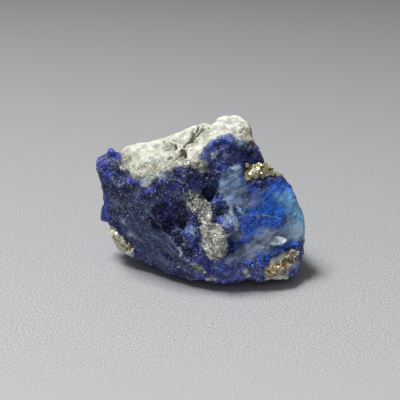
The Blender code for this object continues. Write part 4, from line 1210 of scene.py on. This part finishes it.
def facets(place, cells_per_mm):
    """Height over a patchwork of small planes, each with its own tilt, that meet in short steps."""
    scaled = place * cells_per_mm
    distances, middles = noise.voronoi(scaled)
    height = weights = 0.0
    for distance, middle in zip(distances, middles):
        weight = math.exp(SEAM_SHARPNESS * (distances[0] - distance))
        tilt = noise.cell_vector(middle * 7.3) - EVEN_TILT
        height += weight * (scaled - middle).dot(tilt)
        weights += weight
    return height / weights / cells_per_mm


def facet_height(spot):
    return sum(height * facets(spot, per_mm) for per_mm, height in FACET_SIZES)


def sugar_height(spot, grey):
    """Swells, lumps and grains of the calcite, with higher grains where it is grey."""
    swell = noise.fractal(spot * SWELLS_PER_MM, 0.8, 2.1, 3) + LUMP_WEIGHT * facets(spot, LUMPS_PER_MM)
    return swell + facets(spot, SUGAR_PER_MM) * (1.0 + GREY_EXTRA * grey)


def rib_height(place):
    x, y, z = place
    leaning = (x - RIB_LEAN * z, y, z - RIB_LEAN * x)
    return noise.noise(Vector([per_mm * way for per_mm, way in zip(RIBS_PER_MM, leaning)]))


def relief(points, shares, settings):
    """How far each point moves along its normal."""
    glass, grey = shares["glass"], shares["grey"]
    calcite = np.maximum(shares["white"], grey)
    rough = (1.0 - glass) * (1.0 - SMOOTHED * calcite) * (1.0 - SMOOTHED * shares["silk"])
    heights = np.zeros(len(points))
    for index, place in enumerate(points / MM):
        spot = Vector(place)
        if rough[index] > LEAST_SHARE:
            heights[index] += rough[index] * facet_height(spot) * settings.facet_tilt * MM
        if calcite[index] > LEAST_SHARE:
            height = sugar_height(spot, grey[index])
            heights[index] += calcite[index] * height * settings.sugar_height
        if glass[index] > LEAST_SHARE:
            step = GLASS_STEP_HEIGHT * facets(spot, GLASS_STEPS_PER_MM) * MM
            heights[index] += glass[index] * (rib_height(place) * settings.rib_height + step)
    heights -= shares["stain"] * calcite * settings.pit_depth
    return heights * smooth_step(points[:, 2] / FOOT_HEIGHT - 0.2)


def store_shares(mesh, shares):
    for name, values in shares.items():
        layer = mesh.attributes.new(name, "FLOAT", "POINT")
        layer.data.foreach_set("value", values.astype(np.float32))


def stored_shares(mesh):
    found = {}
    for name in MINERALS + MARKS:
        found[name] = np.empty(len(mesh.vertices), np.float32)
        mesh.attributes[name].data.foreach_get("value", found[name])
    return found


def rock_tree():
    """The surface of the chunk, for rays that look for it."""
    bm = bmesh.new()
    bm.from_mesh(bpy.data.objects["chunk"].data)
    tree = BVHTree.FromBMesh(bm)
    bm.free()
    return tree


def hollow_share(points, normals, pairs):
    """How deep each point lies under its surroundings: 0 on edges, 0.5 on level, 1 in hollows."""
    depth = ((evened(points, pairs, HOLLOW_ROUNDS) - points) * normals).sum(axis=1)
    return np.clip(0.5 + 0.5 * depth / (HOLLOW_DEPTH * MM), 0.0, 1.0)


def chunk_object(settings, colours):
    skin = even_skin(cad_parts[CHUNK_NODE], settings.grid)
    points, normals, pairs = points_of(skin), normals_of(skin), edge_pairs(skin)
    broad_normals = evened(normals, pairs, FACING_ROUNDS)
    broad_normals /= np.linalg.norm(broad_normals, axis=1)[:, None]
    shares = mineral_shares(points, broad_normals)
    points += normals * relief(points, shares, settings)[:, None]
    points[:, 2] = np.maximum(points[:, 2], 0.0)
    move_points(skin, points)
    # How deep each point lies, for the painted shade of hollows and the painted light of edges
    shares["sunk"] = hollow_share(points, normals_of(skin), pairs)
    store_shares(skin, shares)
    skin.name = "chunk"
    skin.shade_smooth()
    skin.materials.clear()
    skin.materials.append(rock_material(colours))
    return link_object("chunk", skin)


def grain_material(name, shade, paler, per_mm, roughness):
    """Small crystals of one mineral, some paler than others."""
    material, tree, shader = new_material(name)
    place = in_mm(tree)
    mottle = noise_pattern(tree, place, per_mm, 2.0, 0.6)
    value, tone, _ = cells(tree, place, per_mm)
    mixed = blend_colours(tree, spread(tree, tone, 0.25, 0.80), shade, paler)
    feed(tree, shader.inputs["Base Color"],
         tinted(tree, mixed, spread(tree, mottle, 0.3, 0.7, 0.45, 1.5)))
    feed(tree, shader.inputs["Roughness"],
         spread(tree, value, 0.0, 1.0, 0.7 * roughness, 1.3 * roughness))
    shader.inputs["IOR"].default_value = STONE_IOR
    shader.inputs["Specular IOR Level"].default_value = GRAIN_SHINE
    return material


def any_turn(draw):
    return Euler([draw.uniform(0.0, math.tau) for _ in range(3)]).to_matrix().to_4x4()


def grains_object(name, chunk, share, kind, material, draw):
    """Small blocky crystals that stand on the chunk where it has enough of a mineral."""
    points, normals = points_of(chunk), normals_of(chunk)
    fit = np.flatnonzero((share > kind.least) & (points[:, 2] > LOWEST_GRAIN))
    bm = bmesh.new()
    for _ in range(kind.count):
        index = int(fit[draw.randrange(len(fit))])
        edge = draw.uniform(*kind.edges) * MM
        turn = any_turn(draw)
        stretch = Matrix.Diagonal((1.0, draw.uniform(*GRAIN_WIDTHS), draw.uniform(*GRAIN_HEIGHTS),
                                   1.0))
        slants = [draw.uniform(-GRAIN_SLANT, GRAIN_SLANT) for _ in range(2)]
        slant = Matrix.Shear("XY", 4, slants)
        centre = Vector(points[index] - normals[index] * edge * kind.sink)
        bmesh.ops.create_cube(bm, size=edge,
                              matrix=Matrix.Translation(centre) @ turn @ slant @ stretch)
    return finished_object(name, bm, material)


def pyrite_material(name, colours, rust):
    """Brassy cubes with brown tarnish: the more rust, the more of them are brown."""
    material, tree, shader = new_material(name)
    place = in_mm(tree)
    tarnish = noise_pattern(tree, place, *TARNISH)
    start, end = (level - extra * rust for level, extra in zip(TARNISH_START, RUST_EXTRA))
    browned = spread(tree, tarnish, start, end, 0.0, MOST_TARNISH)
    shade = blend_colours(tree, browned, colours.brass, colours.tarnish)
    _, tone, _ = cells(tree, place, CRYSTALS_PER_MM)
    shade = tinted(tree, shade, spread(tree, tone, *CRYSTAL_TONES))
    feed(tree, shader.inputs["Base Color"], shade)
    shader.inputs["Metallic"].default_value = 1.0
    feed(tree, shader.inputs["Roughness"], spread(tree, tarnish, *CRYSTAL_ROUGHNESS))
    return material


def on_face(across, up):
    """The place in mm that a viewer of the best face sees so far across and up it."""
    return (across, *(up * UP_FACE)[1:])


def pyrite_bands():
    """All the bands, with their ends in mm and the way they are seen."""
    seen = [(name, on_face(*start), on_face(*end), half_width, count, largest, INTO_FACE)
            for name, start, end, half_width, count, largest in FACE_BANDS]
    return seen + OTHER_BANDS


def crystal_places(tree, band, draw):
    """Where each crystal of a band sits on the rock: its matrix and its edge."""
    _, start, end, half_width, count, largest, way = band
    start, end = Vector(start) * MM, Vector(end) * MM
    way = Vector(way).normalized()
    across = way.cross(end - start).normalized()
    places = []
    for _ in range(count):
        spot = start.lerp(end, draw.random()) + across * draw.uniform(-half_width, half_width) * MM
        edge = largest * draw.uniform(SMALLEST_CRYSTAL, 1.0) * MM
        turn = any_turn(draw)
        hit, normal, _, _ = tree.ray_cast(spot - way * SIGHT_DISTANCE, way)
        if hit is None or hit.z < 0.6 * edge + 0.1 * MM:
            continue
        centre = hit - normal * edge * draw.uniform(*CRYSTAL_SINK)
        places.append((Matrix.Translation(centre) @ turn, edge))
    return places


def pyrite_object(band, tree, draw, material):
    bm = bmesh.new()
    for matrix, edge in crystal_places(tree, band, draw):
        made = bmesh.ops.create_cube(bm, size=edge, matrix=matrix)
        edges = list(dict.fromkeys(e for v in made["verts"] for e in v.link_edges))
        bmesh.ops.bevel(bm, geom=edges, offset=CRYSTAL_BEVEL * edge, segments=1, profile=0.5,
                        affect="EDGES", material=-1)
    return finished_object("pyrite_" + band[0], bm, material)


def chip_rings(bm):
    """The rings of the flake, each a pointed oval in mm, from its top to under its rim."""
    rings = []
    for reach, height in CHIP_RINGS:
        ring = []
        for step in range(CHIP_CORNERS):
            angle = math.tau * step / CHIP_CORNERS
            narrow = math.copysign(abs(math.sin(angle)) ** CHIP_POINTEDNESS, math.sin(angle))
            corner = (math.cos(angle) * reach * CHIP_RADII[0], narrow * reach * CHIP_RADII[1], height)
            ring.append(bm.verts.new(Vector(corner) * MM))
        rings.append(ring)
    return rings


def chip_object(tree, material):
    """A raised flake on the glassy face: a pointed lens with a rim, tilted a little upwards."""
    way = Vector(INTO_FACE)
    start = Vector(on_face(*CHIP_MIDDLE)) * MM - way * SIGHT_DISTANCE
    hit, _, _, _ = tree.ray_cast(start, way)
    bm = bmesh.new()
    rings = chip_rings(bm)
    bm.faces.new(rings[0])
    for inner, outer in zip(rings, rings[1:]):
        for step in range(CHIP_CORNERS):
            after = (step + 1) % CHIP_CORNERS
            bm.faces.new((inner[step], outer[step], outer[after], inner[after]))
    bm.faces.new(list(reversed(rings[-1])))
    lie = Matrix.Rotation(CHIP_YAW, 4, "Z") @ Matrix.Rotation(CHIP_LEAN, 4, "X")
    lie = lie @ Matrix.Rotation(CHIP_TURN, 4, "Z")
    middle = Matrix.Translation(hit - way * CHIP_LIFT * MM)
    bmesh.ops.transform(bm, matrix=middle @ lie, verts=bm.verts)
    bmesh.ops.recalc_face_normals(bm, faces=bm.faces)
    return finished_object("chip", bm, material)


def floor_material(settings):
    """Pale paper with a fine speckle, darker far away as painted shade."""
    material, tree, shader = new_material("plain floor")
    place = add_node(tree, "ShaderNodeTexCoord").outputs["Object"]
    split = add_node(tree, "ShaderNodeSeparateXYZ")
    feed(tree, split.inputs[0], place)
    back = split.outputs["Y"]
    far = add_node(tree, "ShaderNodeMapRange")
    feed(tree, far.inputs["Value"], back)
    far.inputs["From Min"].default_value, far.inputs["From Max"].default_value = FLOOR_FADE
    shade = blend_colours(tree, far.outputs["Result"], settings.near_floor, settings.shaded_far_floor)
    speckle = spread(tree, noise_pattern(tree, in_mm(tree), *SPECKLE), *SPECKLE_TONES)
    sharp = multiply(tree, spread(tree, back, *SPECKLE_BEHIND),
                     spread(tree, back, *SPECKLE_IN_FRONT))
    strength = multiply(tree, speckle, sharp)
    shade = tinted(tree, shade, calculate(tree, "ADD", strength, 1.0))
    feed(tree, shader.inputs["Base Color"], shade)
    shader.inputs["Roughness"].default_value = FLOOR_ROUGHNESS
    shader.inputs["Specular IOR Level"].default_value = FLOOR_SHINE
    return material


def make_floor(settings):
    bm = bmesh.new()
    bmesh.ops.create_grid(bm, x_segments=1, y_segments=1, size=FLOOR_REACH)
    return finished_object("floor", bm, floor_material(settings))


def make_camera():
    data = bpy.data.cameras.new("camera")
    data.lens = LENS
    data.sensor_width = SENSOR
    data.clip_start = 1.0 * MM
    data.clip_end = 5.0
    camera = link_object("camera", data)
    camera.location = CAMERA_TARGET - Vector(INTO_FACE) * CAMERA_DISTANCE
    camera.rotation_euler = (math.pi / 2 - VIEW_ANGLE, 0.0, 0.0)
    bpy.context.scene.camera = camera


def make_lights(settings):
    """A soft lamp that points at the chunk, and an even light from all around."""
    lamp = bpy.data.lights.new("soft lamp", "AREA")
    lamp.shape = "RECTANGLE"
    lamp.size = LAMP_SIZE
    lamp.size_y = LAMP_SIZE
    lamp.energy = settings.lamp_power
    holder = link_object("soft lamp", lamp)
    place = LAMP_WAY * LAMP_DISTANCE
    holder.location = place
    holder.rotation_euler = place.to_track_quat("Z", "Y").to_euler()
    world = bpy.data.worlds.new("room")
    world.use_nodes = True
    background = world.node_tree.nodes["Background"]
    background.inputs["Color"].default_value = (1.0, 1.0, 1.0, 1.0)
    background.inputs["Strength"].default_value = settings.room_light
    bpy.context.scene.world = world
    bpy.context.scene.view_settings.view_transform = "Standard"


class AFGHANITE_OT_stage(bpy.types.Operator):
    """Lays the floor and sets up the soft light and the camera"""

    bl_idname = "afghanite.stage"
    bl_label = "Stage"

    def execute(self, context):
        settings = context.scene.afghanite_stage
        make_floor(settings)
        make_lights(settings)
        make_camera()
        return {"FINISHED"}


class AFGHANITE_OT_chunk(bpy.types.Operator):
    """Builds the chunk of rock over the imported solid"""

    bl_idname = "afghanite.chunk"
    bl_label = "Chunk"

    def execute(self, context):
        chunk = chunk_object(context.scene.afghanite_chunk, context.scene.afghanite_colours)
        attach(chunk, BODY)
        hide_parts(CHUNK_NODE)
        return {"FINISHED"}


class AFGHANITE_OT_grains(bpy.types.Operator):
    """Scatters the small crystals of calcite and afghanite over the chunk"""

    bl_idname = "afghanite.grains"
    bl_label = "Grains"

    def execute(self, context):
        colours = context.scene.afghanite_colours
        chunk = bpy.data.objects["chunk"].data
        found = stored_shares(chunk)
        plain = (1.0 - found["glass"]) * (1.0 - found["dark"]) * (1.0 - found["silk"])
        bare = (1.0 - found["white"]) * (1.0 - found["grey"]) * (1.0 - found["haze"])
        calcite = grain_material("calcite grains", colours.grey, colours.white, 1.6, 0.40)
        blue = grain_material("blue grains", colours.navy, colours.violet, 1.3, 0.34)
        # Pale flakes: pale grains, and in part painted glints
        pale = grain_material("flakes", colours.speck, colours.flake, 2.0, 0.22)
        draw = random.Random(SEED)
        for name, share, kind, material in (
            ("calcite_grains", found["grey"] * (1.0 - found["white"]), CALCITE_GRAINS, calcite),
            ("blue_grains", plain * bare * found["violet"], BLUE_GRAINS, blue),
            ("flakes", plain * bare, FLAKES_AND_GLINTS, pale),
        ):
            grains = grains_object(name, chunk, share, kind, material, draw)
            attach(grains, BODY)
        return {"FINISHED"}


class AFGHANITE_OT_pyrite(bpy.types.Operator):
    """Grows the bands of pyrite crystals on the chunk"""

    bl_idname = "afghanite.pyrite"
    bl_label = "Pyrite"

    def execute(self, context):
        tree = rock_tree()
        draw = random.Random(SEED)
        colours = context.scene.afghanite_colours
        bright = pyrite_material("pyrite", colours, 0.0)
        rusty = pyrite_material("rusty pyrite", colours, 1.0)
        for band in pyrite_bands():
            material = rusty if band[0] in RUSTY_BANDS else bright
            crystals = pyrite_object(band, tree, draw, material)
            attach(crystals, BODY)
        return {"FINISHED"}


class AFGHANITE_OT_chip(bpy.types.Operator):
    """Raises the thin glassy flake on the glassy face"""

    bl_idname = "afghanite.chip"
    bl_label = "Chip"

    def execute(self, context):
        colours = context.scene.afghanite_colours
        glass = grain_material("chip glass", colours.chip, colours.chip_light, 0.8, 0.4)
        chip = chip_object(rock_tree(), glass)
        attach(chip, BODY)
        return {"FINISHED"}


OPERATORS = (AFGHANITE_OT_stage, AFGHANITE_OT_chunk, AFGHANITE_OT_grains, AFGHANITE_OT_pyrite,
             AFGHANITE_OT_chip)


class AFGHANITE_PT_panel(bpy.types.Panel):
    """Lists the steps that build the specimen, and its sizes and colours"""

    bl_label = "Afghanite specimen"
    bl_idname = "AFGHANITE_PT_panel"
    bl_space_type = "VIEW_3D"
    bl_region_type = "UI"
    bl_category = "Afghanite"

    def draw(self, context):
        for operator in OPERATORS:
            self.layout.operator(operator.bl_idname)
        for group in (context.scene.afghanite_chunk, context.scene.afghanite_colours,
                      context.scene.afghanite_stage):
            box = self.layout.box()
            for name in type(group).__annotations__:
                box.prop(group, name)


CLASSES = (ChunkSettings, MineralColours, StageSettings, *OPERATORS, AFGHANITE_PT_panel)


def register():
    for made in CLASSES:
        bpy.utils.register_class(made)
    bpy.types.Scene.afghanite_chunk = bpy.props.PointerProperty(type=ChunkSettings)
    bpy.types.Scene.afghanite_colours = bpy.props.PointerProperty(type=MineralColours)
    bpy.types.Scene.afghanite_stage = bpy.props.PointerProperty(type=StageSettings)


def unregister():
    del bpy.types.Scene.afghanite_chunk
    del bpy.types.Scene.afghanite_colours
    del bpy.types.Scene.afghanite_stage
    for made in reversed(CLASSES):
        bpy.utils.unregister_class(made)


def main():
    register()
    bpy.ops.afghanite.stage()
    bpy.ops.afghanite.chunk()
    bpy.ops.afghanite.grains()
    bpy.ops.afghanite.pyrite()
    bpy.ops.afghanite.chip()


if __name__ == "__main__":
    main()
